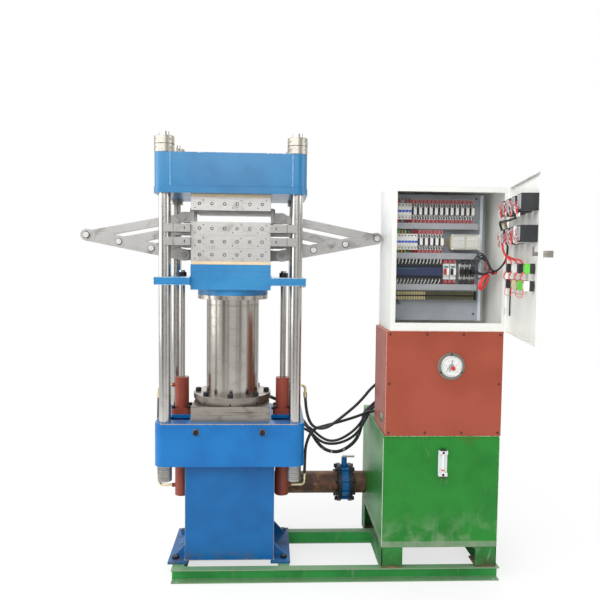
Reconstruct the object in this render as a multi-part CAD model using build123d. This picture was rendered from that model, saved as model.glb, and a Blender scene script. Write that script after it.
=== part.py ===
from build123d import *
import math
import os

# The press centre line is X 0, Y 0 while the pieces are built, with the floor at Z 0.
# Every piece is moved at the end so that the origin is the centre of the skid's anchor holes.

# Cuts and running fits
overrun = 5.0
running_fit = 0.05
loose_fit = 0.5
seat_gap = 0.3

# Skid
channel_height = 70.0
channel_flange = 43.0
channel_wall = 5.0
skid_left = -290.0
skid_right = 1400.0
skid_front = -274.0
rear_channel_front = 175.5
anchor_spacing_x = 1640.0
anchor_hole_radius = 7.0
anchor_edge_distance = 14.0
cross_member_width = 60.0
tank_cross_offset = 800.0

# Pedestal
pedestal_width = 462.0
pedestal_depth = 370.0
pedestal_wall = 16.0
foot_plate_thickness = 12.0
foot_plate_reach = 317.0
foot_plate_depth = 418.0
gusset_leg = 66.0
gusset_height = 72.0
gusset_thickness = 12.0
gusset_offset = 140.0
foot_bolt_radius = 10.0
foot_bolt_offset_y = 165.0
foot_bolt_inset = 34.0

# Columns and their nuts
column_spacing_x = 665.0
column_spacing_y = 380.0
column_radius = 30.0
column_bottom = 515.0
column_top = 2278.0
stud_radius = 27.5
stud_rise = 104.0
top_nut_radius = 51.5
top_nut_height = 41.0
nut_hole_radius = 4.0
nut_hole_depth = 14.0
lower_nut_radius = 35.5
lower_nut_height = 84.0
nut_groove = 2.0
collar_radius = 40.0
collar_height = 24.0

# Bed
bed_bottom = 592.0
bed_height = 221.0
boss_radius = 50.0
side_pocket_inner = 212.0
side_pocket_outer = 316.0
side_pocket_depth = 300.0
ear_thickness = 18.0
ear_depth = 130.0
ear_rise = 5.0
bed_bolt_x = 168.0
bed_bolt_drop = 42.0
bed_bolt_radius = 10.0
bed_bolt_depth = 60.0
washer_radius = 17.0
washer_thickness = 3.0

# Crown
crown_height = 200.0
crown_plate = 32.0
crown_plate_lip = 3.0

# Platens and insulation
platen_size = 400.0
platen_height = 66.0
insulation_thickness = 16.0
platen_gap = 0.3
heater_count = 6
heater_pitch = 63.0
heater_hole_radius = 8.1
heater_radius = 8.0
heater_inset = 4.0

# Moving table, its top face below the crown and its wings below that face
press_opening = 354.0
table_size = 404.0
table_plate = 33.0
table_body = 95.0
table_round_radius = 187.0
table_round_height = 30.0
wing_span = 762.0
wing_depth = 470.0
wing_thickness = 40.0
wing_drop = 104.0
bush_wall = 8.0

# Main ram and cylinder
ram_radius = 140.0
ram_wall = 40.0
ram_lift = 420.0
ram_head_radius = 186.0
ram_head_height = 23.0
barrel_radius = 165.0
barrel_floor = 30.0
barrel_bottom = 170.0
cylinder_block_size = 400.0
cylinder_block_height = 80.0
spigot_radius = 192.0
spigot_height = 14.0
gland_radius = 207.0
gland_height = 29.0
gland_bolt_count = 8
gland_bolt_circle = 183.0
gland_bolt_radius = 10.0
bolt_head_height = 18.0
bolt_head_share = 1.5
socket_share = 0.8
hex_share = 3.0
hex_sides = 6
seal_width = 9.0
seal_height = 14.0
seal_drop = 8.0
port_bore_radius = 58.0

# Lift cylinders
lift_x = 272.0
lift_radius = 37.5
lift_bore_radius = 30.0
lift_bottom = 366.0
lift_top = 1012.0
lift_cap = 20.0
lift_rod_radius = 16.0
lift_rod_bottom = 700.0
lift_piston_height = 40.0
lift_flange_size = 104.0
lift_flange_corner = 24.0
lift_flange_height = 30.0
lift_bolt_offset = 40.0
lift_bolt_radius = 7.0
lift_port_radius = 11.0
lift_port_reach = 16.0
lift_port_high = 968.0
lift_port_low = 415.0
rod_nut_radius = 24.0
rod_nut_height = 22.0
rod_tip = 10.0

# Guide arms of the middle platens
arm_height = 41.0
arm_depth = 90.0
arm_joint_x = 283.0
shoe_end_x = 331.0
shoe_play = 0.08

# Quick-opening linkage
pivot_x = 260.0
linkage_pitch = 66.3
arm_length = 519.0
lower_arm_half_width = 31.0
upper_arm_half_width = 22.5
middle_layer_half = 12.0
side_plate_inner = 14.0
side_plate_thickness = 14.0
cheek_thickness = 16.0
cheek_radius = 28.0
pin_radius = 10.0
pin_head_radius = 15.0
pin_head_height = 8.0
tip_play = 3.0
outer_pin_play = 2.0
inner_pin_play = 1.0
lug_base_thickness = 14.0
lug_base_half_depth = 40.0
lug_base_half_height = 29.0
closing_stroke = 57.0
hanger_half_depth = 70.0
hanger_top_drop = 58.0
hanger_bottom_drop = 136.0
hanger_slot_half_width = 5.5
hanger_slot_offset = 50.0
hanger_screw_drop = 70.0
hanger_screw_radius = 5.0
hanger_screw_depth = 24.0
hanger_screw_head_radius = 10.0
hanger_screw_head_height = 7.0

# Prefill pipe and its butterfly valve
pipe_y = 360.0
pipe_z = 302.0
pipe_radius = 65.0
pipe_wall = 6.0
pipe_bend_radius = 120.0
valve_x = 658.0
valve_width = 46.0
valve_radius = 88.0
valve_flange_width = 20.0
valve_flange_radius = 112.0
valve_flange_bolt_circle = 96.0
valve_flange_bolt_radius = 8.0
valve_flange_bolt_count = 8
neck_radius = 17.0
neck_top = 455.0
stem_radius = 8.0
disc_thickness = 10.0
disc_play = 1.0
lever_length = 62.0
lever_width = 20.0
lever_thickness = 10.0

# Oil tank
tank_left = 784.0
tank_right = 1384.0
tank_front = -264.0
tank_depth = 705.0
tank_top = 758.0
tank_floor = 175.0
tank_wall = 4.0
tank_lid = 8.0
leg_size = 110.0
leg_wall = 6.0
leg_foot = 110.0
leg_foot_thickness = 8.0
filler_x = 1270.0
filler_y = 330.0
filler_radius = 38.0
filler_height = 70.0

# Level gauge
level_x = 1090.0
level_width = 46.0
level_depth = 22.0
level_low = 548.0
level_high = 692.0
level_end = 24.0
level_tube_radius = 9.0
level_tube_place_share = 0.62
level_tube_share = 0.7

# Motor and pump
motor_x = 1150.0
motor_y = -95.0
motor_radius = 95.0
motor_base = 20.0
motor_height = 300.0
motor_flange_radius = 120.0
motor_bore_radius = 30.0
motor_shaft_radius = 14.0
motor_fan_radius = 80.0
motor_fan_height = 24.0
motor_cowl_height = 50.0
motor_cowl_wall = 3.0
bell_height = 110.0
bell_wall = 10.0
pump_radius = 60.0
pump_height = 150.0
pump_hole_radius = 70.0
rotor_clearance = 1.0

# Valve manifold
manifold_left = 920.0
manifold_front = 150.0
manifold_length = 190.0
manifold_depth = 90.0
manifold_height = 192.0
solenoid_radius = 22.0
solenoid_length = 58.0
valve_block_width = 48.0
valve_block_height = 46.0
valve_count = 3

# Housing over the power unit
housing_left = 791.0
housing_right = 1389.0
housing_front = -259.0
housing_depth = 326.0
housing_height = 538.0
sheet_wall = 3.0
housing_frame = 26.0
side_window_front = -190.0
side_window_rear = -90.0
side_window_low = 800.0
side_window_high = 850.0
panel_screw_radius = 5.0
panel_screw_height = 2.0

# Pressure gauge
gauge_x = 1123.0
gauge_z = 1118.0
gauge_flange_radius = 70.0
gauge_flange_thickness = 5.0
gauge_case_radius = 54.0
gauge_case_depth = 62.0
gauge_rim = 6.0
gauge_dial_drop = 7.0
pointer_length = 42.0
pointer_width = 5.0
pointer_thickness = 1.6
pointer_hub_radius = 7.0

# Control cabinet and door
cabinet_left = 806.0
cabinet_right = 1391.0
cabinet_depth = 330.0
cabinet_height = 727.0
cabinet_lip = 26.0
cabinet_lip_low = 42.0
cabinet_lip_right = 16.0
plate_inset_low = 36.0
plate_inset_high = 18.0
plate_inset_left = 12.0
plate_inset_right = 52.0
plate_stand_off = 102.0
rail_height = 35.0
rail_depth = 7.5
duct_height = 34.0
duct_depth = 55.0
first_row_drop = 111.0
second_row_drop = 271.0
third_row_drop = 427.0
terminal_row_drop = 556.0
duct_drops = (187.0, 345.0, 510.0)
device_height = 84.0
device_depth = 62.0
terminal_height = 42.0
device_width = 17.5
device_spacing = 0.5
relay_width_share = 1.6
terminal_depth_share = 0.6
row_left = 852.0
row_right = 1300.0
second_row_right = 1140.0
solid_state_left = 1156.0
solid_state_width = 150.0
solid_state_height = 70.0
plc_left = 860.0
plc_width = 245.0
plc_height = 88.0
plc_depth = 70.0
small_relay_left = 1116.0
small_relay_right = 1190.0
contact_left = 1204.0
contact_right = 1290.0
door_thickness = 20.0
door_open_angle = 81.0
hinge_radius = 7.0
hinge_length = 60.0
hinge_gap = 3.0
hinge_low = 90.0
hinge_pin_radius = 3.5
lock_drop = 341.0
lock_inset = 36.0
lock_shaft_radius = 9.0
lock_knob_radius = 14.0
lock_reach = 48.0
lock_bar_length = 30.0
lock_bar_width = 16.0
lock_bar_thickness = 3.0
lock_bar_gap = 26.0
controller_size = 72.0
controller_depth = 78.0
controller_row_drop = 118.0
controller_low_row_drop = 253.0
controller_bezel = 4.0
controller_lip = 3.0
contact_block_width = 30.0
contact_block_height = 44.0
contact_block_depth = 46.0
button_row_high_drop = 403.0
button_row_low_drop = 478.0
button_hole_radius = 11.0
button_radius = 10.6
button_travel = 5.0
button_ring_radius = 15.0
button_ring_height = 5.0
button_stand = 6.0
stop_mushroom_radius = 20.0
stop_mushroom_height = 12.0

# Hose ends
ferrule_length = 30.0
ferrule_wall = 2.5
gooseneck_tube_radius = 7.0
elbow_radius = 22.0
hose_radius = 8.0
ferrule_radius = hose_radius + ferrule_wall
main_hose_radius = 10.5
main_port_radius = 6.0
loom_radius = 5.0
bend_share = 0.45

# Places worked out from the driving dimensions
skid_centre_x = (skid_left + skid_right) / 2
rear_channel_back = rear_channel_front + channel_flange
front_anchor_y = skid_front + anchor_edge_distance
rear_anchor_y = rear_channel_back - anchor_edge_distance
anchor_centre_y = (front_anchor_y + rear_anchor_y) / 2
anchor_spacing_y = rear_anchor_y - front_anchor_y
foot_top = channel_height + foot_plate_thickness
column_x = column_spacing_x / 2
column_y = column_spacing_y / 2
bed_top = bed_bottom + bed_height
bed_width = column_spacing_x + 2 * boss_radius
bed_depth = column_spacing_y + 2 * boss_radius
crown_top = column_top - stud_rise
crown_bottom = crown_top - crown_height
table_top = crown_bottom - press_opening
top_platen_bottom = crown_bottom - insulation_thickness - platen_height
platen_half = platen_size / 2
bottom_platen_bottom = table_top + insulation_thickness
lower_middle_bottom = bottom_platen_bottom + platen_height + platen_gap
upper_middle_bottom = lower_middle_bottom + platen_height + platen_gap
wing_bottom = table_top - wing_drop
wing_top = wing_bottom + wing_thickness
table_bottom = table_top - table_plate - table_body - table_round_height
ram_top = table_bottom - ram_head_height
ram_bottom = barrel_bottom + barrel_floor + ram_lift
block_top = bed_top + cylinder_block_height
gland_bottom = block_top + spigot_height
gland_top = gland_bottom + gland_height
lower_pivot_z = bottom_platen_bottom + platen_height / 2
lower_middle_pivot_z = lower_pivot_z + linkage_pitch
upper_middle_pivot_z = lower_middle_pivot_z + linkage_pitch
hanger_pivot_z = upper_middle_pivot_z + linkage_pitch
hanger_top = crown_bottom - hanger_top_drop
hanger_bottom = crown_bottom - hanger_bottom_drop
hanger_screw_height = crown_bottom - hanger_screw_drop
rest_half_rise = (hanger_pivot_z - lower_pivot_z) / 2
arm_angle = math.degrees(math.asin(rest_half_rise / arm_length))
arm_third = arm_length / 3
tip_x = pivot_x + arm_length * math.cos(math.radians(arm_angle))
tip_z = lower_pivot_z + rest_half_rise
housing_bottom = tank_top
housing_top = housing_bottom + housing_height
cabinet_bottom = housing_top
cabinet_top = cabinet_bottom + cabinet_height
cabinet_front = housing_front
cabinet_back = cabinet_front + cabinet_depth
plate_face = cabinet_back - plate_stand_off
first_row_centre = cabinet_top - first_row_drop
second_row_centre = cabinet_top - second_row_drop
third_row_centre = cabinet_top - third_row_drop
terminal_row_centre = cabinet_top - terminal_row_drop
duct_centres = [cabinet_top - drop for drop in duct_drops]
controller_row = cabinet_top - controller_row_drop
controller_low_row = cabinet_top - controller_low_row_drop
button_row_high = cabinet_top - button_row_high_drop
button_row_low = cabinet_top - button_row_low_drop
lock_height = cabinet_top - lock_drop
tank_back = tank_front + tank_depth
hinge_x = cabinet_right + hinge_radius
hinge_y = cabinet_front - hinge_radius
door_left = cabinet_left
door_right = cabinet_right - hinge_gap
door_inner = cabinet_front - hinge_gap
door_outer = door_inner - door_thickness

nodes = {}


def add(name, *shapes):
    """Put solids into a named node."""
    solids = nodes.setdefault(name, [])
    for shape in shapes:
        solids.extend(shape.solids())


def block(x_low, x_high, y_low, y_high, z_low, z_high):
    """A box between two corners."""
    centre = Pos((x_low + x_high) / 2, (y_low + y_high) / 2, (z_low + z_high) / 2)
    return centre * Box(x_high - x_low, y_high - y_low, z_high - z_low)


def rod_z(x, y, radius, z_low, z_high):
    """An upright cylinder."""
    return Pos(x, y, (z_low + z_high) / 2) * Cylinder(radius, z_high - z_low)


def rod_y(x, z, radius, y_low, y_high):
    """A cylinder that runs front to back."""
    return Pos(x, (y_low + y_high) / 2, z) * Rot(90, 0, 0) * Cylinder(radius, y_high - y_low)


def rod_x(y, z, radius, x_low, x_high):
    """A cylinder that runs left to right."""
    return Pos((x_low + x_high) / 2, y, z) * Rot(0, 90, 0) * Cylinder(radius, x_high - x_low)


def rounded_slab(width, depth, corner, z_low, z_high):
    """A slab with rounded upright corners, centred on the press."""
    return Pos(0, 0, z_low) * extrude(RectangleRounded(width, depth, corner), z_high - z_low)


def hex_head(x, y, across, z_low, z_high):
    """An upright hexagon head."""
    return Pos(x, y, z_low) * extrude(RegularPolygon(across / 2 / math.cos(math.pi / hex_sides), hex_sides), z_high - z_low)


def mirrored(shape):
    """The same shape on the other side of the press."""
    return mirror(shape, about=Plane.YZ)


def on_both_sides(name, shape):
    """Put a shape and its mirror image into one node."""
    add(name, shape, mirrored(shape))


def column_places():
    """The four column centres."""
    return [(sx * column_x, sy * column_y) for sx in (-1, 1) for sy in (-1, 1)]


def make_skid():
    """Two long channels, the front one open to the front, and cross members between their webs."""
    front_web = skid_front + channel_flange
    front = block(skid_left, skid_right, front_web - channel_wall, front_web, 0, channel_height)
    rear = block(skid_left, skid_right, rear_channel_front, rear_channel_front + channel_wall,
                 0, channel_height)
    for low in (0, channel_height - channel_wall):
        front += block(skid_left, skid_right, skid_front, front_web, low, low + channel_wall)
        rear += block(skid_left, skid_right, rear_channel_front, rear_channel_back, low, low + channel_wall)
    for x in (skid_centre_x - anchor_spacing_x / 2, skid_centre_x + anchor_spacing_x / 2):
        front -= rod_z(x, front_anchor_y, anchor_hole_radius, -overrun, channel_wall + overrun)
        rear -= rod_z(x, rear_anchor_y, anchor_hole_radius, -overrun, channel_wall + overrun)
    frame = front + rear
    cross_places = (skid_left, tank_cross_offset, skid_right - cross_member_width)
    for x in cross_places:
        frame += block(x, x + cross_member_width, front_web, rear_channel_front, 0, channel_height)
    for x in (-foot_bolt_x() - cross_member_width / 2, foot_bolt_x() - cross_member_width / 2):
        if x > skid_left + cross_member_width:
            frame += block(x, x + cross_member_width, front_web, rear_channel_front,
                           channel_height - channel_wall, channel_height)
    add("skid_frame", frame)


def foot_bolt_x():
    """Distance of the foot bolts from the press centre."""
    return foot_plate_reach - foot_bolt_inset


def make_pedestal():
    """A welded box that carries the bed, with a foot plate and two gussets on each side."""
    half_x = pedestal_width / 2
    half_y = pedestal_depth / 2
    box = block(-half_x, half_x, -half_y, half_y, foot_top, bed_bottom)
    box -= block(-half_x + pedestal_wall, half_x - pedestal_wall, -half_y + pedestal_wall,
                 half_y - pedestal_wall, foot_top - overrun, bed_bottom + overrun)
    box -= rod_y(0, pipe_z, pipe_radius + loose_fit, 0, half_y + overrun)
    for side in (-1, 1):
        low = min(side * (half_x - pedestal_wall), side * foot_plate_reach)
        high = max(side * (half_x - pedestal_wall), side * foot_plate_reach)
        plate = block(low, high, -foot_plate_depth / 2, foot_plate_depth / 2, channel_height, foot_top)
        for y in (-foot_bolt_offset_y, foot_bolt_offset_y):
            plate -= rod_z(side * foot_bolt_x(), y, foot_bolt_radius, channel_height - overrun,
                           foot_top + overrun)
        box += plate
        for y in (-gusset_offset, gusset_offset):
            corner = (side * half_x, foot_top)
            points = [corner, (side * (half_x + gusset_leg), foot_top), (side * half_x, foot_top + gusset_height)]
            face = make_face(Polyline(*points, close=True))
            gusset = extrude(Plane.XZ * face, gusset_thickness / 2, both=True)
            box += Pos(0, y, 0) * gusset
    add("press_pedestal", box)


def make_bed():
    """The bed: a deep slab with column bosses at its corners, side pockets and the ears of the lift cylinders."""
    bed = rounded_slab(bed_width, bed_depth, boss_radius, bed_bottom, bed_top)
    bed -= rod_z(0, 0, barrel_radius + loose_fit, bed_bottom - overrun, bed_top + overrun)
    for x, y in column_places():
        bed -= rod_z(x, y, column_radius + running_fit, bed_bottom - overrun, bed_top + overrun)
    for side in (-1, 1):
        low = min(side * side_pocket_inner, side * side_pocket_outer)
        high = max(side * side_pocket_inner, side * side_pocket_outer)
        bed -= block(low, high, -side_pocket_depth / 2, side_pocket_depth / 2, bed_bottom - overrun,
                     bed_top + overrun)
        ear = block(low, high, -ear_depth / 2, ear_depth / 2, bed_top + ear_rise - ear_thickness,
                    bed_top + ear_rise)
        bed += ear - rod_z(side * lift_x, 0, lift_radius + loose_fit, bed_bottom, bed_top + ear_thickness)
    bolt_z = bed_top - bed_bolt_drop
    for x in (-bed_bolt_x, bed_bolt_x):
        bed -= rod_y(x, bolt_z, bed_bolt_radius, -bed_depth / 2 - overrun, -bed_depth / 2 + bed_bolt_depth)
    for x, y in lift_bolt_places():
        bed -= rod_z(x, y, lift_bolt_radius, bed_top + ear_rise - ear_thickness - overrun,
                     bed_top + ear_rise + overrun)
    add("press_bed", bed)


def lift_bolt_places():
    """The flange bolts of both lift cylinders."""
    return [(sx * lift_x + ox * lift_bolt_offset, oy * lift_bolt_offset)
            for sx in (-1, 1) for ox in (-1, 1) for oy in (-1, 1)]


def make_columns():
    """Four ground columns with threaded ends, two top nuts each, a bottom nut each and two rear collars."""
    for x, y in column_places():
        column = rod_z(x, y, column_radius, column_bottom, crown_top)
        column += rod_z(x, y, stud_radius, crown_top, column_top)
        add("columns", column)
        for level in range(2):
            low = crown_top + level * top_nut_height
            nut = rod_z(x, y, top_nut_radius, low, low + top_nut_height)
            nut = chamfer(nut.edges().filter_by(GeomType.CIRCLE), nut_groove)
            nut -= rod_z(x, y, stud_radius, low - overrun, low + top_nut_height + overrun)
            middle = low + top_nut_height / 2
            for angle in range(45, 405, 90):
                dx = math.cos(math.radians(angle)) * top_nut_radius
                dy = math.sin(math.radians(angle)) * top_nut_radius
                drill = Pos(x + dx, y + dy, middle) * Rot(0, 90, angle) * Cylinder(
                    nut_hole_radius, 2 * nut_hole_depth)
                nut -= drill
            add("column_nuts", nut)
        low = bed_bottom - lower_nut_height
        nut = rod_z(x, y, lower_nut_radius, low, bed_bottom)
        nut -= rod_z(x, y, column_radius, column_bottom, bed_bottom + overrun)
        for share in (0.25, 0.5, 0.75):
            ring_z = low + share * lower_nut_height
            ring = rod_z(x, y, lower_nut_radius + overrun, ring_z, ring_z + nut_groove)
            nut -= ring - rod_z(x, y, lower_nut_radius - nut_groove, ring_z - overrun, ring_z + overrun)
        add("column_nuts", nut)
        if y > 0:
            collar = rod_z(x, y, collar_radius, crown_bottom - collar_height, crown_bottom)
            add("column_nuts", collar - rod_z(x, y, column_radius, crown_bottom - collar_height - overrun,
                                              crown_bottom + overrun))


def make_crown():
    """The fixed crown on the columns, with a lipped plate under it."""
    crown = rounded_slab(bed_width, bed_depth, boss_radius, crown_bottom + crown_plate, crown_top)
    crown += rounded_slab(bed_width + 2 * crown_plate_lip, bed_depth + 2 * crown_plate_lip,
                          boss_radius + crown_plate_lip, crown_bottom, crown_bottom + crown_plate)
    for x, y in column_places():
        crown -= rod_z(x, y, column_radius + running_fit, crown_bottom - overrun, crown_top + overrun)
    add("crown", crown)
    add("top_insulation", block(-platen_half, platen_half, -platen_half, platen_half,
                                crown_bottom - insulation_thickness, crown_bottom))


def make_platen(name, z_low, side_cuts=()):
    """A heating platen drilled front to back, with its cartridge heaters as solids of their own."""
    platen = block(-platen_half, platen_half, -platen_half, platen_half, z_low, z_low + platen_height)
    middle = z_low + platen_height / 2
    for index in range(heater_count):
        x = (index - (heater_count - 1) / 2) * heater_pitch
        platen -= rod_y(x, middle, heater_hole_radius, -platen_half - overrun, platen_half + overrun)
        add(name, rod_y(x, middle, heater_radius, -platen_half + heater_inset, platen_half))
    for cut in side_cuts:
        platen -= cut
    add(name, platen)


def make_table():
    """The moving table: a deep body, wings that reach the columns, guide bushes and a round foot."""
    half = table_size / 2
    plate_bottom = table_top - table_plate
    body_bottom = plate_bottom - table_body
    table = block(-half, half, -half, half, body_bottom, table_top)
    table += block(half, wing_span / 2, -wing_depth / 2, wing_depth / 2, wing_bottom, wing_top)
    table += block(-wing_span / 2, -half, -wing_depth / 2, wing_depth / 2, wing_bottom, wing_top)
    table += rod_z(0, 0, table_round_radius, table_bottom, body_bottom)
    bush_radius = column_radius + bush_wall
    for x, y in column_places():
        table -= rod_z(x, y, bush_radius, wing_bottom - overrun, wing_top + overrun)
        bush = rod_z(x, y, bush_radius, wing_bottom, wing_top)
        bush -= rod_z(x, y, column_radius + running_fit, wing_bottom - overrun, wing_top + overrun)
        add("moving_table", bush)
    for side in (-1, 1):
        table -= rod_z(side * lift_x, 0, lift_rod_radius, wing_bottom - overrun, wing_top + overrun)
    add("moving_table", table)
    add("lower_insulation", block(-platen_half, platen_half, -platen_half, platen_half, table_top,
                                  table_top + insulation_thickness))


def make_ram():
    """The hollow ram and the flange at its head."""
    ram = rod_z(0, 0, ram_radius, ram_bottom, ram_top)
    ram -= rod_z(0, 0, ram_radius - ram_wall, ram_bottom - overrun, ram_top - ram_wall)
    add("ram", ram)
    head = rod_z(0, 0, ram_head_radius, ram_top, table_bottom)
    add("ram_head_flange", head)


def gland_bolt_places():
    """The gland bolts, one of them at the front."""
    step = 360 / gland_bolt_count
    return [(gland_bolt_circle * math.cos(math.radians(index * step - 90)),
             gland_bolt_circle * math.sin(math.radians(index * step - 90)))
            for index in range(gland_bolt_count)]


def make_cylinder():
    """The main cylinder with its square block, the gland flange and the seal ring inside it."""
    half = cylinder_block_size / 2
    body = rod_z(0, 0, barrel_radius, barrel_bottom, bed_top)
    body += block(-half, half, -half, half, bed_top, block_top)
    body += rod_z(0, 0, spigot_radius, block_top, gland_bottom)
    body -= rod_z(0, 0, ram_radius + running_fit, barrel_bottom + barrel_floor, gland_bottom + overrun)
    body -= rod_y(0, pipe_z, port_bore_radius, ram_radius - overrun, barrel_radius + overrun)
    port_x, port_y, port_z = hose_routes["hose_main"][0]
    body -= rod_y(port_x, port_z, main_port_radius, 0, port_y)
    gland = rod_z(0, 0, gland_radius, gland_bottom, gland_top)
    gland -= rod_z(0, 0, ram_radius + running_fit, gland_bottom - overrun, gland_top + overrun)
    seal_top = gland_top - seal_drop
    seal_bottom = seal_top - seal_height
    groove = rod_z(0, 0, ram_radius + seal_width, seal_bottom, seal_top)
    groove -= rod_z(0, 0, ram_radius + running_fit, seal_bottom - overrun, seal_top + overrun)
    gland -= groove
    for x, y in gland_bolt_places():
        hole = rod_z(x, y, gland_bolt_radius, bed_top + overrun, gland_top + overrun)
        body -= hole
        gland -= hole
    add("main_cylinder", body)
    add("gland_flange", gland)
    add("gland_flange", groove)


def make_bolts():
    """The socket and hexagon bolts of the gland, the lift cylinders, the bed and the feet."""
    for x, y in gland_bolt_places():
        bolt = rod_z(x, y, gland_bolt_radius, bed_top + overrun, gland_top)
        head = rod_z(x, y, gland_bolt_radius * bolt_head_share, gland_top, gland_top + bolt_head_height)
        head -= hex_head(x, y, gland_bolt_radius * bolt_head_share, gland_top + bolt_head_height / 2,
                         gland_top + bolt_head_height + overrun)
        add("machine_bolts", bolt + head)
    flange_top = bed_top + ear_rise + lift_flange_height
    for x, y in lift_bolt_places():
        low = bed_top + ear_rise - ear_thickness
        bolt = rod_z(x, y, lift_bolt_radius, low, flange_top)
        bolt += rod_z(x, y, lift_bolt_radius * bolt_head_share, flange_top, flange_top + 2 * lift_bolt_radius)
        add("machine_bolts", bolt)
    bolt_z = bed_top - bed_bolt_drop
    front = -bed_depth / 2
    for x in (-bed_bolt_x, bed_bolt_x):
        washer = rod_y(x, bolt_z, washer_radius, front - washer_thickness, front)
        washer -= rod_y(x, bolt_z, bed_bolt_radius, front - overrun, front + overrun)
        bolt = rod_y(x, bolt_z, bed_bolt_radius, front - washer_thickness, front + bed_bolt_depth - overrun)
        head_front = front - washer_thickness - bed_bolt_radius
        head = rod_y(x, bolt_z, bed_bolt_radius * bolt_head_share, head_front, front - washer_thickness)
        socket = Pos(x, head_front - overrun, bolt_z) * Rot(-90, 0, 0) * extrude(
            RegularPolygon(bed_bolt_radius * socket_share, 6), overrun + bed_bolt_radius / 2)
        add("machine_bolts", washer, bolt + (head - socket))
    for side in (-1, 1):
        for y in (-foot_bolt_offset_y, foot_bolt_offset_y):
            x = side * foot_bolt_x()
            bolt = rod_z(x, y, foot_bolt_radius, channel_height, foot_top)
            bolt += hex_head(x, y, foot_bolt_radius * hex_share, foot_top, foot_top + foot_bolt_radius * bolt_head_share)
            add("machine_bolts", bolt)


def make_lift_cylinders():
    """Two slim side cylinders through the bed, with pistons and rods that end in the table wings."""
    flange_low = bed_top + ear_rise
    barrel = rod_z(lift_x, 0, lift_radius, lift_bottom, lift_top)
    flange = extrude(RectangleRounded(lift_flange_size, lift_flange_size, lift_flange_corner),
                     lift_flange_height)
    barrel += Pos(lift_x, 0, flange_low) * flange
    port_out = lift_x + lift_radius + lift_port_reach
    for port_z in (lift_port_high, lift_port_low):
        barrel += rod_x(0, port_z, lift_port_radius, lift_x, port_out)
    barrel -= rod_z(lift_x, 0, lift_bore_radius, lift_bottom + lift_cap, lift_top - lift_cap)
    barrel -= rod_z(lift_x, 0, lift_rod_radius + running_fit, lift_top - lift_cap - overrun,
                    lift_top + overrun)
    for port_z in (lift_port_high, lift_port_low):
        barrel -= rod_x(0, port_z, lift_port_radius / 2, lift_x, port_out + overrun)
    for x, y in lift_bolt_places():
        if x > 0:
            barrel -= rod_z(x, y, lift_bolt_radius, flange_low - overrun, flange_low + lift_flange_height + overrun)
    on_both_sides("lift_cylinders", barrel)
    nut_top = wing_top + rod_nut_height
    rod = rod_z(lift_x, 0, lift_rod_radius, lift_rod_bottom, nut_top + rod_tip)
    rod += rod_z(lift_x, 0, lift_bore_radius - running_fit, lift_rod_bottom,
                 lift_rod_bottom + lift_piston_height)
    on_both_sides("lift_rods", rod)
    nut = hex_head(lift_x, 0, rod_nut_radius * math.sqrt(3), wing_top, nut_top)
    nut -= rod_z(lift_x, 0, lift_rod_radius, wing_top - overrun, nut_top + overrun)
    on_both_sides("lift_rods", nut)


def make_guides(name, z_low):
    """Four arms on a middle platen's sides, each with a half-round shoe that hugs its column, and two lugs."""
    middle = z_low + platen_height / 2
    low = middle - arm_height / 2
    high = middle + arm_height / 2
    for side in (-1, 1):
        for front in (-1, 1):
            y = front * column_y
            arm = block(platen_half, arm_joint_x, y - arm_depth / 2, y + arm_depth / 2, low, high)
            shoe = block(arm_joint_x, shoe_end_x, y - arm_depth / 2, y + arm_depth / 2, low, high)
            shoe -= rod_z(column_x, y, column_radius + shoe_play, low - overrun, high + overrun)
            for piece in (arm, shoe):
                add(name, piece if side > 0 else mirrored(piece))
    lug = clevis(middle)
    on_both_sides(name, lug)
    on_both_sides(name, clevis_pin(middle))


def eye_plate(radius, z, y_low, y_high, x_root):
    """A tab that runs out from a flat root to a round eye at the pivot."""
    tab = block(x_root, pivot_x, y_low, y_high, z - radius, z + radius)
    return tab + rod_y(pivot_x, z, radius, y_low, y_high)


def clevis(z):
    """A lug base on a platen's side with two cheeks for a link's eye."""
    base = block(platen_half, platen_half + lug_base_thickness, -lug_base_half_depth, lug_base_half_depth,
                 z - lug_base_half_height, z + lug_base_half_height)
    for side in (-1, 1):
        inner = side * side_plate_inner
        outer = side * (side_plate_inner + cheek_thickness)
        base += eye_plate(cheek_radius, z, min(inner, outer), max(inner, outer),
                          platen_half + lug_base_thickness / 2)
    reach = side_plate_inner + cheek_thickness + overrun
    return base - rod_y(pivot_x, z, pin_radius, -reach, reach)


def clevis_pin(z):
    """A headed pin through a clevis."""
    reach = side_plate_inner + cheek_thickness
    pin = rod_y(pivot_x, z, pin_radius, -reach, reach)
    for side in (-1, 1):
        face = side * reach
        edge = side * (reach + pin_head_height)
        pin += rod_y(pivot_x, z, pin_head_radius, min(face, edge), max(face, edge))
    return pin


def make_lower_brackets():
    """Lugs on the bottom platen with one tongue each, which the lower arm's plates straddle."""
    z = lower_pivot_z
    base = block(platen_half, platen_half + lug_base_thickness, -lug_base_half_depth, lug_base_half_depth,
                 z - lug_base_half_height, z + lug_base_half_height)
    base += eye_plate(cheek_radius, z, -middle_layer_half, middle_layer_half,
                      platen_half + lug_base_thickness / 2)
    base -= rod_y(pivot_x, z, pin_radius, -middle_layer_half - overrun, middle_layer_half + overrun)
    on_both_sides("lower_brackets", base)
    reach = side_plate_inner + side_plate_thickness + seat_gap
    pin = rod_y(pivot_x, z, pin_radius, -reach, reach)
    for side in (-1, 1):
        face = side * reach
        edge = side * (reach + pin_head_height)
        pin += rod_y(pivot_x, z, pin_head_radius, min(face, edge), max(face, edge))
    on_both_sides("lower_brackets", pin)


def hanger_screw_places():
    """The shoulder screws that the hangers slide on, as Y places."""
    return (-hanger_slot_offset, hanger_slot_offset)


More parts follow.
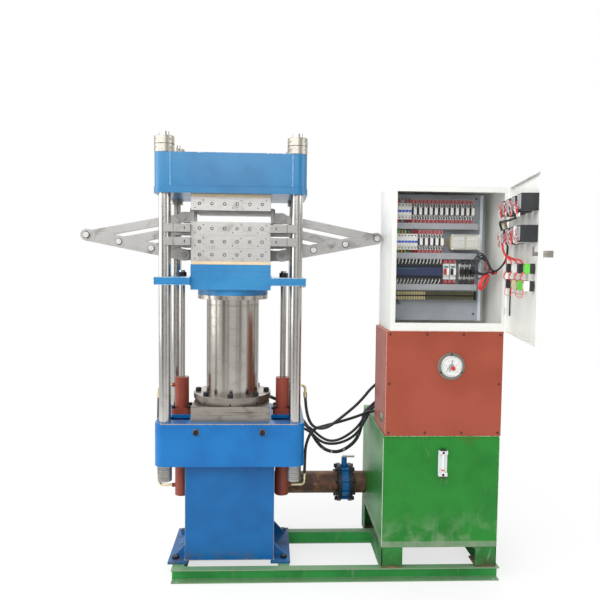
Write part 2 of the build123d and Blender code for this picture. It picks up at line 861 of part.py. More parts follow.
def make_hangers():
    """Slotted hanger plates with a clevis each, which lift on shoulder screws as the stack closes."""
    face = platen_half + seat_gap
    outer = face + lug_base_thickness
    plate = block(face, outer, -hanger_half_depth, hanger_half_depth, hanger_bottom, hanger_top)
    for side in (-1, 1):
        inner = side * side_plate_inner
        edge = side * (side_plate_inner + cheek_thickness)
        plate += eye_plate(cheek_radius, hanger_pivot_z, min(inner, edge), max(inner, edge),
                           face + lug_base_thickness / 2)
    reach = side_plate_inner + cheek_thickness + overrun
    plate -= rod_y(pivot_x, hanger_pivot_z, pin_radius, -reach, reach)
    slot_top = hanger_screw_height + hanger_slot_half_width - hanger_screw_radius
    slot_bottom = slot_top - closing_stroke - 2 * seat_gap
    for y in hanger_screw_places():
        slot = block(face - overrun, outer + overrun, y - hanger_slot_half_width,
                     y + hanger_slot_half_width, slot_bottom, slot_top)
        slot += rod_x(y, slot_top, hanger_slot_half_width, face - overrun, outer + overrun)
        slot += rod_x(y, slot_bottom, hanger_slot_half_width, face - overrun, outer + overrun)
        plate -= slot
        screw_x = platen_half - hanger_screw_depth
        screw_end = outer + seat_gap
        screw = rod_x(y, hanger_screw_height, hanger_screw_radius, screw_x, screw_end)
        screw += rod_x(y, hanger_screw_height, hanger_screw_head_radius, screw_end,
                       screw_end + hanger_screw_head_height)
        on_both_sides("machine_bolts", screw)
    on_both_sides("linkage_hangers", plate)
    on_both_sides("linkage_hangers", clevis_pin(hanger_pivot_z))


def screw_cuts():
    """Holes in the top platen for the hanger screws."""
    cuts = []
    for side in (-1, 1):
        low = min(side * (platen_half - hanger_screw_depth), side * (platen_half + overrun))
        high = max(side * (platen_half - hanger_screw_depth), side * (platen_half + overrun))
        for y in hanger_screw_places():
            cuts.append(rod_x(y, hanger_screw_height, hanger_screw_radius, low, high))
    return cuts


def bar(length, half_width, y_low, y_high, holes):
    """A flat bar with round ends, its first eye at the origin, along +X; holes are (distance, radius) pairs."""
    shape = block(0, length, y_low, y_high, -half_width, half_width)
    shape += rod_y(0, 0, half_width, y_low, y_high)
    shape += rod_y(length, 0, half_width, y_low, y_high)
    for distance, radius in holes:
        shape -= rod_y(distance, 0, radius, y_low - overrun, y_high + overrun)
    return shape


def place_bar(shape, z, rising):
    """Turn a bar to the rest angle and put its first eye on the pivot line."""
    angle = -arm_angle if rising else arm_angle
    return Pos(pivot_x, 0, z) * Rot(0, angle, 0) * shape


def make_arms():
    """The two arms and two links of each side's pantograph, with the outer pins on the lower arm."""
    eye = pin_radius + running_fit
    upper = place_bar(bar(arm_length, upper_arm_half_width, -middle_layer_half, middle_layer_half,
                          [(0, eye), (arm_length, pin_radius + tip_play)]), hanger_pivot_z, False)
    long_link = place_bar(bar(2 * arm_third, upper_arm_half_width, -middle_layer_half, middle_layer_half,
                              [(0, eye), (2 * arm_third, pin_radius + outer_pin_play)]),
                          upper_middle_pivot_z, False)
    short_link = place_bar(bar(arm_third, upper_arm_half_width, -middle_layer_half, middle_layer_half,
                               [(0, eye), (arm_third, pin_radius + inner_pin_play)]),
                           lower_middle_pivot_z, False)
    outer_face = side_plate_inner + side_plate_thickness
    pin_places = (arm_third, 2 * arm_third, arm_length)
    plate_holes = [(0, eye)] + [(place, pin_radius) for place in pin_places]
    lower = []
    for side in (-1, 1):
        low = min(side * side_plate_inner, side * outer_face)
        high = max(side * side_plate_inner, side * outer_face)
        lower.append(place_bar(bar(arm_length, lower_arm_half_width, low, high, plate_holes),
                               lower_pivot_z, True))
    for place in pin_places:
        pin = rod_y(place, 0, pin_radius, -outer_face, outer_face)
        for side in (-1, 1):
            face = side * outer_face
            edge = side * (outer_face + pin_head_height)
            pin += rod_y(place, 0, pin_head_radius, min(face, edge), max(face, edge))
        lower.append(place_bar(pin, lower_pivot_z, True))
    for ending, flip in (("right", False), ("left", True)):
        pieces = {"upper_arm": [upper], "long_link": [long_link], "short_link": [short_link],
                  "lower_arm": lower}
        for kind, shapes in pieces.items():
            for shape in shapes:
                add(kind + "_" + ending, mirrored(shape) if flip else shape)


def make_prefill_pipe():
    """The wide oil pipe from the tank's side to the back of the main cylinder, in two lengths."""
    valve_left = valve_x - valve_width / 2 - valve_flange_width
    valve_right = valve_x + valve_width / 2 + valve_flange_width
    path = FilletPolyline((valve_left, pipe_y, pipe_z), (0, pipe_y, pipe_z), (0, barrel_radius, pipe_z),
                          radius=pipe_bend_radius)
    outer = sweep(Plane(origin=(valve_left, pipe_y, pipe_z), z_dir=(-1, 0, 0)) * Circle(pipe_radius), path)
    inner = sweep(Plane(origin=(valve_left, pipe_y, pipe_z), z_dir=(-1, 0, 0))
                  * Circle(pipe_radius - pipe_wall), path)
    add("prefill_pipe", outer - inner)
    right = rod_x(pipe_y, pipe_z, pipe_radius, valve_right, tank_left)
    right -= rod_x(pipe_y, pipe_z, pipe_radius - pipe_wall, valve_right - overrun, tank_left + overrun)
    add("prefill_pipe", right)


def make_butterfly_valve():
    """The wafer valve between two flanges, with its disc, stem and lever."""
    bore = pipe_radius - pipe_wall
    left = valve_x - valve_width / 2
    right = valve_x + valve_width / 2
    body = rod_x(pipe_y, pipe_z, valve_radius, left, right)
    body += rod_z(valve_x, pipe_y, neck_radius, pipe_z, neck_top)
    body -= rod_x(pipe_y, pipe_z, bore, left - overrun, right + overrun)
    body -= rod_z(valve_x, pipe_y, stem_radius + running_fit, pipe_z, neck_top + overrun)
    add("butterfly_valve", body)
    for low, high in ((left - valve_flange_width, left), (right, right + valve_flange_width)):
        flange = rod_x(pipe_y, pipe_z, valve_flange_radius, low, high)
        flange -= rod_x(pipe_y, pipe_z, bore, low - overrun, high + overrun)
        for index in range(valve_flange_bolt_count):
            angle = math.radians((index + 0.5) * 360 / valve_flange_bolt_count)
            y = pipe_y + valve_flange_bolt_circle * math.cos(angle)
            z = pipe_z + valve_flange_bolt_circle * math.sin(angle)
            flange -= rod_x(y, z, valve_flange_bolt_radius, low - overrun, high + overrun)
        add("butterfly_valve", flange)
    for index in range(valve_flange_bolt_count):
        angle = math.radians((index + 0.5) * 360 / valve_flange_bolt_count)
        y = pipe_y + valve_flange_bolt_circle * math.cos(angle)
        z = pipe_z + valve_flange_bolt_circle * math.sin(angle)
        stud_left = left - valve_flange_width - 2 * valve_flange_bolt_radius
        stud_right = right + valve_flange_width + 2 * valve_flange_bolt_radius
        stud = rod_x(y, z, valve_flange_bolt_radius, stud_left, stud_right)
        for low in (stud_left, right + valve_flange_width):
            nut = rod_x(y, z, valve_flange_bolt_radius * bolt_head_share, low, low + 2 * valve_flange_bolt_radius)
            stud += nut
        add("butterfly_valve", stud)
    disc_radius = bore - disc_play
    disc = rod_y(0, 0, disc_radius, -disc_thickness / 2, disc_thickness / 2)
    disc = Pos(valve_x, pipe_y, pipe_z) * disc
    lever_low = neck_top + seat_gap
    stem = rod_z(valve_x, pipe_y, stem_radius, pipe_z, lever_low + lever_thickness)
    lever = block(valve_x - lever_width / 2, valve_x + lever_length, pipe_y - lever_width / 2,
                  pipe_y + lever_width / 2, lever_low, lever_low + lever_thickness)
    add("valve_disc", disc + stem + lever)


def make_tank():
    """The oil tank: a welded shell on four angle legs, its lid, the pipe stub hole and a filler."""
    shell = block(tank_left, tank_right, tank_front, tank_back, tank_floor, tank_top - tank_lid)
    shell -= block(tank_left + tank_wall, tank_right - tank_wall, tank_front + tank_wall,
                   tank_back - tank_wall, tank_floor + tank_wall, tank_top + overrun)
    shell -= rod_x(pipe_y, pipe_z, pipe_radius - pipe_wall, tank_left - overrun,
                   tank_left + tank_wall + overrun)
    add("oil_tank", shell)
    lid = block(tank_left, tank_right, tank_front, tank_back, tank_top - tank_lid, tank_top)
    lid -= rod_z(motor_x, motor_y, pump_hole_radius, tank_top - tank_lid - overrun, tank_top + overrun)
    lid -= rod_z(filler_x, filler_y, filler_radius / 2, tank_top - tank_lid - overrun, tank_top + overrun)
    add("oil_tank", lid)
    neck = rod_z(filler_x, filler_y, filler_radius, tank_top, tank_top + filler_height)
    neck -= rod_z(filler_x, filler_y, filler_radius / 2, tank_top - overrun, tank_top + filler_height / 2)
    add("oil_tank", neck)
    for x, turn_x in ((tank_left, 1), (tank_right, -1)):
        for y, turn_y in ((tank_front, 1), (tank_back, -1)):
            foot_z = channel_height if -foot_plate_depth < y < rear_channel_back else 0
            end_x = x + turn_x * leg_size
            end_y = y + turn_y * leg_size
            wall_x = x + turn_x * leg_wall
            wall_y = y + turn_y * leg_wall
            low = foot_z + leg_foot_thickness
            leg = block(min(x, end_x), max(x, end_x), min(y, wall_y), max(y, wall_y), low, tank_floor)
            leg += block(min(x, wall_x), max(x, wall_x), min(y, end_y), max(y, end_y), low, tank_floor)
            foot_y = y + turn_y * leg_foot
            foot_x = x + turn_x * leg_foot
            leg += block(min(x, foot_x), max(x, foot_x), min(y, foot_y), max(y, foot_y), foot_z, low)
            add("oil_tank", leg)


def make_level_gauge():
    """The sight gauge on the tank's front: a channel with two end blocks, a tube and two screws."""
    front = tank_front - level_depth
    back = block(level_x - level_width / 2, level_x + level_width / 2, tank_front - level_depth / 3,
                 tank_front, level_low, level_high)
    for low, high in ((level_low, level_low + level_end), (level_high - level_end, level_high)):
        back += block(level_x - level_width / 2, level_x + level_width / 2, front, tank_front, low, high)
    tube_y = tank_front - level_depth * level_tube_place_share
    tube = rod_z(level_x, tube_y, level_tube_radius * level_tube_share, level_low + level_end, level_high - level_end)
    add("level_gauge", back, tube)


def make_motor_and_pump():
    """The upright motor with its turning shaft and fan, the bell housing and the pump under the lid."""
    bell_top = tank_top + bell_height
    bell = rod_z(motor_x, motor_y, motor_flange_radius, tank_top, bell_top)
    bell -= rod_z(motor_x, motor_y, motor_flange_radius - bell_wall, tank_top + bell_wall, bell_top - bell_wall)
    bell -= rod_z(motor_x, motor_y, pump_radius, tank_top - overrun, tank_top + bell_wall + overrun)
    bell -= rod_z(motor_x, motor_y, motor_bore_radius, bell_top - bell_wall - overrun, bell_top + overrun)
    window = block(motor_x - motor_flange_radius - overrun, motor_x + motor_flange_radius + overrun,
                   motor_y - motor_bore_radius, motor_y + motor_bore_radius,
                   tank_top + 2 * bell_wall, bell_top - 2 * bell_wall)
    bell -= window
    pump_top = tank_top + bell_wall
    pump = rod_z(motor_x, motor_y, pump_radius, pump_top - pump_height, pump_top)
    pump -= rod_z(motor_x, motor_y, motor_shaft_radius + running_fit, pump_top - pump_height / 2,
                  pump_top + overrun)
    add("pump_motor", bell, pump)
    stator_top = bell_top + motor_height
    stator = rod_z(motor_x, motor_y, motor_radius, bell_top + motor_base, stator_top)
    stator += rod_z(motor_x, motor_y, motor_flange_radius, bell_top, bell_top + motor_base)
    cowl_top = stator_top + motor_cowl_height
    stator += rod_z(motor_x, motor_y, motor_radius, stator_top, cowl_top)
    fan_gap = motor_fan_radius + rotor_clearance * 4
    stator -= rod_z(motor_x, motor_y, fan_gap, stator_top + rotor_clearance, cowl_top - motor_cowl_wall)
    stator -= rod_z(motor_x, motor_y, fan_gap / 2, cowl_top - 2 * motor_cowl_wall, cowl_top + overrun)
    stator -= rod_z(motor_x, motor_y, motor_shaft_radius + running_fit, bell_top - overrun, cowl_top)
    add("pump_motor", stator)
    shaft = rod_z(motor_x, motor_y, motor_shaft_radius, pump_top - pump_height / 2 + rotor_clearance,
                  stator_top + motor_fan_height)
    fan_low = stator_top + motor_fan_height / 2
    shaft += rod_z(motor_x, motor_y, motor_fan_radius / 2, fan_low, fan_low + motor_fan_height)
    for angle in range(0, 360, 60):
        blade = block(0, motor_fan_radius, -rotor_clearance, rotor_clearance, fan_low, fan_low + motor_fan_height)
        shaft += Pos(motor_x, motor_y, 0) * Rot(0, 0, angle) * blade
    coupling_low = pump_top + bell_wall
    shaft += rod_z(motor_x, motor_y, motor_bore_radius - 2 * rotor_clearance, coupling_low,
                   bell_top - 2 * bell_wall)
    add("motor_rotor", shaft)


def make_manifold():
    """The drilled valve block on the tank's lid with its solenoid valves and hose ports."""
    right = manifold_left + manifold_length
    back = manifold_front + manifold_depth
    top = tank_top + manifold_height
    body = block(manifold_left, right, manifold_front, back, tank_top, top)
    add("valve_manifold", body)
    pitch = manifold_length / valve_count
    for index in range(valve_count):
        x = manifold_left + (index + 0.5) * pitch
        middle_y = (manifold_front + back) / 2
        valve = block(x - valve_block_width / 2, x + valve_block_width / 2, manifold_front, back, top,
                      top + valve_block_height)
        coil_z = top + valve_block_height / 2
        valve += rod_y(x, coil_z, solenoid_radius, manifold_front - solenoid_length,
                       back + solenoid_length)
        add("valve_manifold", valve)


def make_housing():
    """The sheet housing over the pump set: sides, top and a framed front, open at the back, and its panel."""
    back = housing_front + housing_depth
    shell = block(housing_left, housing_right, housing_front, back, housing_bottom, housing_top)
    shell -= block(housing_left + sheet_wall, housing_right - sheet_wall, housing_front + sheet_wall,
                   back + overrun, housing_bottom - overrun, housing_top - sheet_wall)
    shell -= block(housing_left + housing_frame, housing_right - housing_frame, housing_front - overrun,
                   housing_front + 2 * sheet_wall, housing_bottom + housing_frame,
                   housing_top - housing_frame)
    shell -= block(housing_left - overrun, housing_left + sheet_wall + overrun, side_window_front,
                   side_window_rear, side_window_low, side_window_high)
    add("unit_housing", shell)
    panel = block(housing_left, housing_right, housing_front - sheet_wall, housing_front,
                  housing_bottom, housing_top)
    panel -= rod_y(gauge_x, gauge_z, gauge_case_radius, housing_front - sheet_wall - overrun,
                   housing_front + overrun)
    add("housing_panel", panel)
    for x, z in panel_screw_places():
        face = housing_front - sheet_wall
        add("housing_panel", rod_y(x, z, panel_screw_radius, face - panel_screw_height, face))


def panel_screw_places():
    """Ten screws: four along the top, two half way down and four along the bottom."""
    inset = housing_frame / 2
    low = housing_bottom + inset
    high = housing_top - inset
    left = housing_left + inset
    right = housing_right - inset
    shares = (0, 1 / 3, 2 / 3, 1)
    places = [(left + share * (right - left), z) for z in (low, high) for share in shares]
    middle = (low + high) / 2
    return places + [(left, middle), (right, middle)]


def make_pressure_gauge():
    """The contact pressure gauge in the front panel, with a turning pointer behind its glass."""
    face = housing_front - sheet_wall
    flange = rod_y(gauge_x, gauge_z, gauge_flange_radius, face - gauge_flange_thickness, face)
    case_front = face - gauge_flange_thickness - gauge_dial_drop
    case_back = housing_front + gauge_case_depth
    case = flange + rod_y(gauge_x, gauge_z, gauge_case_radius, case_front, case_back)
    dial_y = face - gauge_flange_thickness
    case -= rod_y(gauge_x, gauge_z, gauge_case_radius - gauge_rim, case_front - overrun, dial_y + gauge_rim)
    stem = rod_z(gauge_x, (housing_front + case_back) / 2, gauge_rim, gauge_z - gauge_case_radius - 2 * gauge_rim,
                 gauge_z - gauge_case_radius / 2)
    add("pressure_gauge", case + stem)
    hub = rod_y(gauge_x, gauge_z, pointer_hub_radius, dial_y + seat_gap, dial_y + gauge_rim - seat_gap)
    needle = block(-pointer_width / 2, pointer_width / 2, dial_y + 2 * seat_gap,
                   dial_y + 2 * seat_gap + pointer_thickness, -pointer_hub_radius * 2, pointer_length)
    needle = Pos(gauge_x, 0, gauge_z) * Rot(0, -135, 0) * needle
    add("gauge_pointer", hub + needle)


def make_cabinet():
    """The control cabinet on the housing, with a lipped front, and the mounting plate on its back."""
    shell = block(cabinet_left, cabinet_right, cabinet_front, cabinet_back, cabinet_bottom, cabinet_top)
    shell -= block(cabinet_left + sheet_wall, cabinet_right - sheet_wall, cabinet_front + sheet_wall,
                   cabinet_back - sheet_wall, cabinet_bottom + sheet_wall, cabinet_top - sheet_wall)
    shell -= block(cabinet_left + cabinet_lip, cabinet_right - cabinet_lip_right,
                   cabinet_front - overrun, cabinet_front + 2 * sheet_wall,
                   cabinet_bottom + cabinet_lip_low, cabinet_top - cabinet_lip)
    add("control_cabinet", shell)
    plate = block(cabinet_left + plate_inset_left, cabinet_right - plate_inset_right,
                  plate_face, plate_face + sheet_wall, cabinet_bottom + plate_inset_low,
                  cabinet_top - plate_inset_high)
    for x in (cabinet_left + 3 * plate_inset_left, cabinet_right - plate_inset_right - 3 * plate_inset_left):
        for z in (cabinet_bottom + 2 * plate_inset_low, cabinet_top - 2 * plate_inset_high):
            plate += rod_y(x, z, panel_screw_radius, plate_face + sheet_wall, cabinet_back - sheet_wall)
    add("mounting_plate", plate)


def device_row(name, left, right, centre, height, depth, width):
    """A row of clip-on devices along a rail."""
    rail_face = plate_face - rail_depth
    place = left
    while place + width <= right:
        add(name, block(place, place + width - device_spacing, rail_face - depth, rail_face,
                        centre - height / 2, centre + height / 2))
        place += width


def make_devices():
    """The rails, ducts, breakers, relays, controllers and terminals on the mounting plate."""
    rail_face = plate_face - rail_depth
    for centre in (first_row_centre, second_row_centre, third_row_centre, terminal_row_centre):
        add("cabinet_devices", block(row_left - device_width, row_right, rail_face, plate_face,
                                     centre - rail_height / 2, centre + rail_height / 2))
    for centre in duct_centres:
        duct = block(row_left - device_width, row_right, plate_face - duct_depth, plate_face,
                     centre - duct_height / 2, centre + duct_height / 2)
        duct -= block(row_left - device_width - overrun, row_right + overrun,
                      plate_face - duct_depth + sheet_wall, plate_face - sheet_wall,
                      centre - duct_height / 2 + sheet_wall, centre + duct_height / 2 - sheet_wall)
        add("cabinet_devices", duct)
    relay_width = relay_width_share * device_width
    device_row("cabinet_devices", row_left, row_left + 5 * device_width, first_row_centre, device_height,
               device_depth, device_width)
    device_row("cabinet_devices", row_left, row_left + 7 * device_width, second_row_centre, device_height,
               device_depth, device_width)
    device_row("cabinet_devices", row_left + 5 * device_width, row_right, first_row_centre, device_height,
               device_depth, relay_width)
    device_row("cabinet_devices", row_left + 7 * device_width, second_row_right, second_row_centre, device_height,
               device_depth, relay_width)
    device_row("cabinet_devices", small_relay_left, small_relay_right, third_row_centre, device_height,
               device_depth, relay_width)
    device_row("cabinet_devices", contact_left, contact_right, third_row_centre, device_height,
               device_depth, relay_width)
    for share in (0, 1):
        left = solid_state_left + share * (solid_state_width + sheet_wall) / 2
        add("cabinet_devices", block(left, left + solid_state_width / 2 - sheet_wall / 2, rail_face - device_depth,
                            rail_face, second_row_centre - solid_state_height / 2,
                            second_row_centre + solid_state_height / 2))
    add("cabinet_devices", block(plc_left, plc_left + plc_width, rail_face - plc_depth, rail_face,
                                  third_row_centre - plc_height / 2, third_row_centre + plc_height / 2))
    device_row("cabinet_devices", row_left, row_right, terminal_row_centre, terminal_height,
               device_depth * terminal_depth_share, device_width / 2)


def at_door_angle(shape):
    """Swing a door piece from closed to the rest pose."""
    return Pos(hinge_x, hinge_y, 0) * Rot(0, 0, door_open_angle) * Pos(-hinge_x, -hinge_y, 0) * shape


def door_columns():
    """Places across the door of its operators, from the hinge side."""
    span = door_right - door_left
    shares = (0.2, 0.4, 0.6, 0.8)
    return [door_right - share * span for share in shares]


def make_door():
    """The pan door with its controllers, contact blocks, buttons, hinges and lock."""
    door = block(door_left, door_right, door_outer, door_inner, cabinet_bottom, cabinet_top)
    door -= block(door_left + sheet_wall, door_right - sheet_wall, door_outer + sheet_wall,
                  door_inner + overrun, cabinet_bottom + sheet_wall, cabinet_top - sheet_wall)
    places = door_columns()
    sheet_back = door_outer + sheet_wall
    half = controller_size / 2
    for z in (controller_row, controller_low_row):
        for x in places:
            door -= block(x - half, x + half, door_outer - overrun, sheet_back + overrun, z - half, z + half)
            unit = block(x - half, x + half, door_outer, door_outer + controller_depth, z - half, z + half)
            unit += block(x - half - controller_lip, x + half + controller_lip,
                          door_outer - controller_bezel, door_outer, z - half - controller_lip,
                          z + half + controller_lip)
            add("door_devices", at_door_angle(unit))
    buttons = [(x, z) for z in (button_row_high, button_row_low) for x in places]
    for x, z in buttons:
        bore = rod_y(x, z, button_hole_radius, door_outer - overrun, sheet_back + overrun)
        door -= bore
        collar = rod_y(x, z, button_ring_radius, door_outer - button_ring_height, door_outer)
        collar += rod_y(x, z, button_hole_radius, door_outer, sheet_back + contact_block_depth / 3)
        collar -= rod_y(x, z, button_radius + running_fit, door_outer - button_ring_height - overrun,
                        sheet_back + contact_block_depth / 3 - sheet_wall)
        contact = block(x - contact_block_width / 2, x + contact_block_width / 2, sheet_back + sheet_wall,
                        sheet_back + contact_block_depth, z - contact_block_height / 2,
                        z + contact_block_height / 2)
        contact -= rod_y(x, z, button_hole_radius, sheet_back, sheet_back + contact_block_depth / 3)
        add("door_devices", at_door_angle(collar), at_door_angle(contact))
    names = ("start_button", "stop_button", "door_devices", "door_devices", "door_devices",
             "door_devices", "door_devices")
    for name, (x, z) in zip(names, buttons):
        add(name, at_door_angle(make_button(x, z)))
    x, z = buttons[-1]
    mushroom = rod_y(x, z, stop_mushroom_radius, door_outer - button_ring_height - button_stand
                     - stop_mushroom_height, door_outer - button_ring_height - button_stand)
    add("emergency_stop", at_door_angle(make_button(x, z) + mushroom))
    lock_x = door_left + lock_inset
    door -= rod_y(lock_x, lock_height, lock_shaft_radius + running_fit, door_outer - overrun,
                  sheet_back + overrun)
    shaft = rod_y(lock_x, lock_height, lock_shaft_radius, door_outer - seat_gap,
                  sheet_back + lock_bar_gap + lock_bar_thickness)
    shaft += rod_y(lock_x, lock_height, lock_knob_radius, door_outer - lock_reach / 2, door_outer - seat_gap)
    shaft += block(lock_x - lock_shaft_radius, lock_x + lock_shaft_radius, door_outer - lock_reach,
                   door_outer - lock_reach / 2, lock_height - lock_knob_radius,
                   lock_height + lock_knob_radius)
    bar_low = sheet_back + lock_bar_gap
    shaft += block(lock_x - lock_bar_width / 2, lock_x + lock_bar_width / 2, bar_low,
                   bar_low + lock_bar_thickness, lock_height - lock_shaft_radius,
                   lock_height + lock_bar_length)
    add("door_handle", at_door_angle(shaft))
    make_hinges(door)


def make_button(x, z):
    """A push button's plunger: it stands out of its ring and slides in the bore."""
    front = door_outer - button_ring_height - button_stand
    back = door_outer + sheet_wall + contact_block_depth / 3 - sheet_wall - button_travel - seat_gap
    return rod_y(x, z, button_radius, front, back)


def make_hinges(door):
    """Two barrel hinges: fixed pins with their cabinet knuckles, and the door's knuckles that turn on them."""
    for z in (cabinet_bottom + hinge_low, cabinet_top - hinge_low - hinge_length):
        middle = z + hinge_length / 2
        fixed = rod_z(hinge_x, hinge_y, hinge_radius, z, middle)
        fixed += block(cabinet_right, hinge_x, hinge_y, cabinet_front + hinge_length / 2, z, middle)
        fixed += rod_z(hinge_x, hinge_y, hinge_pin_radius, z, z + hinge_length)
        add("control_cabinet", fixed)
        knuckle = rod_z(hinge_x, hinge_y, hinge_radius, middle + seat_gap, z + hinge_length)
        leaf = block(door_right - sheet_wall, hinge_x, hinge_y - hinge_radius, hinge_y - hinge_radius / 2,
                     middle + seat_gap, z + hinge_length)
        knuckle = knuckle + leaf
        knuckle -= rod_z(hinge_x, hinge_y, hinge_pin_radius + running_fit, z, z + hinge_length + overrun)
        door += knuckle
    add("cabinet_door", at_door_angle(door))


def hose_path(points):
    """Straight runs joined by tangent arcs, each as large as its two runs allow."""
    vectors = [Vector(*point) for point in points]
    radii = []
    for before, corner, after in zip(vectors, vectors[1:], vectors[2:]):
        turn = (corner - before).get_angle(after - corner)
        shorter = min((corner - before).length, (after - corner).length)
        radii.append(bend_share * shorter / math.tan(math.radians(turn / 2)))
    return FilletPolyline(*points, radius=radii), radii


def make_hose(name, radius, points):
    """A hose as a round tube along its path."""
    path, radii = hose_path(points)
    start = Plane(origin=points[0], z_dir=Vector(*points[1]) - Vector(*points[0]))
    tube = sweep(start * Circle(radius), path)
    expected = math.pi * radius ** 2 * path.length
    print(name, "length", round(path.length), "radii", [round(value) for value in radii],
          "volume share", round(tube.volume / expected, 4))
    add(name, tube)


# Hose routes in the same press frame. The two right hoses serve the right lift cylinder, the two
# left ones pass behind the bed, and the main hose leaves the back of the main cylinder. All end
# at the ports of the valve block on the tank. The loom runs from a duct to the door's devices.
hose_routes = {
    "hose_right_lower": [
        (397, 0, 478), (399, 4, 556), (402, 10, 636), (440, 38, 714), (519, 70, 726), (630, 105, 747),
        (713, 130, 767), (785, 158, 788), (868, 168, 792)],
    "hose_right_upper": [
        (397, 0, 900), (404, -10, 761), (499, 14, 709), (614, 44, 787), (712, 90, 856), (800, 140, 950),
        (868, 180, 972)],
    "hose_left_upper": [
        (-397, 0, 900), (-400, 8, 800), (-412, 60, 720), (-418, 160, 690), (-396, 262, 682),
        (-310, 306, 680), (-190, 304, 674), (-60, 300, 678), (80, 302, 680), (210, 300, 676),
        (330, 300, 690), (430, 298, 668), (521, 290, 584), (593, 275, 575), (679, 250, 628),
        (745, 228, 705), (786, 214, 812), (868, 196, 872)],
    "hose_left_lower": [
        (-397, 0, 478), (-400, 8, 560), (-412, 60, 630), (-418, 160, 652), (-396, 270, 650),
        (-310, 322, 646), (-190, 326, 640), (-60, 322, 646), (80, 326, 642), (210, 322, 645),
        (330, 322, 660), (430, 318, 640), (506, 310, 563), (577, 295, 552), (652, 262, 580),
        (715, 222, 636), (764, 196, 735), (790, 180, 806), (868, 166, 850)],
    "hose_main": [
        (110, 246, 853), (116, 320, 850), (165, 380, 838), (260, 398, 795), (350, 388, 735),
        (430, 370, 650), (509, 345, 518), (594, 315, 495), (661, 290, 526), (725, 272, 591),
        (750, 258, 690), (764, 246, 786), (868, 226, 840)]}
# The loom's third number is its drop below the cabinet's top.
loom_route = [
    (1300, -58, 345), (1345, -66, 357), (1352, -120, 391), (1346, -180, 417), (1345, -240, 423),
    (1346, -300, 405), (1348, -362, 373), (1348, -387, 333), (1348, -387, 289.4)]
hose_routes["door_loom"] = [(x, y, cabinet_top - drop) for x, y, drop in loom_route]
hose_radii = {"hose_main": main_hose_radius, "door_loom": loom_radius}


def rod_between(first, last, radius):
    """A cylinder between two points."""
    start = Vector(*first)
    run = Vector(*last) - start
    return Plane(origin=start + run / 2, z_dir=run) * Cylinder(radius, run.length)


def make_hose_fittings():
    """Steel elbows on the lift cylinders' ports, the main cylinder's port and the valve block's ports."""
    port_out = lift_x + lift_radius + lift_port_reach
    for name, side, port_z in (("hose_right_upper", 1, lift_port_high), ("hose_left_upper", -1, lift_port_high),
                               ("hose_right_lower", 1, lift_port_low), ("hose_left_lower", -1, lift_port_low)):
        sleeve, joint = hose_sleeve(hose_routes[name][0], hose_routes[name][1], ferrule_radius)
        corner = (joint.X, 0, port_z)
        path = FilletPolyline((side * port_out, 0, port_z), corner, tuple(joint), radius=elbow_radius)
        start = Plane(origin=(side * port_out, 0, port_z), z_dir=(side, 0, 0))
        add("hose_fittings", sweep(start * Circle(gooseneck_tube_radius), path) + sleeve)
    route = hose_routes["hose_main"]
    radius = main_hose_radius + ferrule_wall
    sleeve, joint = hose_sleeve(route[0], route[1], radius)
    stub = rod_y(joint.X, joint.Z, radius, cylinder_block_size / 2, joint.Y)
    add("hose_fittings", sleeve + Pos(joint) * Sphere(radius) + stub)
    for name, route in hose_routes.items():
        if name != "door_loom":
            radius = hose_radii.get(name, hose_radius) + ferrule_wall
            sleeve, joint = hose_sleeve(route[-1], route[-2], radius)
            face = manifold_left
            if joint.Z > tank_top + manifold_height:
                face += (manifold_length / valve_count - valve_block_width) / 2
            stub = rod_x(joint.Y, joint.Z, radius - ferrule_wall, joint.X, face)
            add("hose_fittings", sleeve + Pos(joint) * Sphere(radius) + stub)


def hose_sleeve(end, inner, radius):
    """The sleeve crimped on a hose's end, in line with its last run, and the place where it stops."""
    heading = (Vector(*end) - Vector(*inner)).normalized()
    joint = Vector(*end) + heading * ferrule_length
    return rod_between(end, tuple(joint), radius), joint


def finish():
    """Move every node to the anchor origin and write it."""
    os.makedirs("parts", exist_ok=True)
    shift = Pos(-skid_centre_x, -anchor_centre_y, 0)
    for name, solids in nodes.items():
        moved = [shift * solid for solid in solids]
        shape = moved[0] if len(moved) == 1 else Compound(moved)
        export_step(shape, "parts/" + name + ".step")
    print(len(nodes), "nodes")


make_skid()
make_pedestal()
make_bed()
make_columns()
make_crown()
make_platen("top_platen", top_platen_bottom, screw_cuts())
make_platen("upper_middle_platen", upper_middle_bottom)
make_platen("lower_middle_platen", lower_middle_bottom)
make_platen("bottom_platen", bottom_platen_bottom)
make_table()
make_ram()
make_cylinder()
make_bolts()
make_lift_cylinders()
make_guides("upper_middle_guides", upper_middle_bottom)
make_guides("lower_middle_guides", lower_middle_bottom)
make_lower_brackets()
make_hangers()
make_arms()
make_prefill_pipe()
make_butterfly_valve()
make_tank()
make_level_gauge()
make_motor_and_pump()
make_manifold()
make_housing()
make_pressure_gauge()
make_cabinet()
make_devices()
make_door()
make_hose_fittings()
for hose_name, hose_points in hose_routes.items():
    make_hose(hose_name, hose_radii.get(hose_name, hose_radius), hose_points)
finish()
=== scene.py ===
import logging
import math
from dataclasses import dataclass
from enum import Enum
from typing import Callable, Optional, Sequence, Union

import bmesh
import bpy
import numpy as np
from mathutils import Matrix, Vector


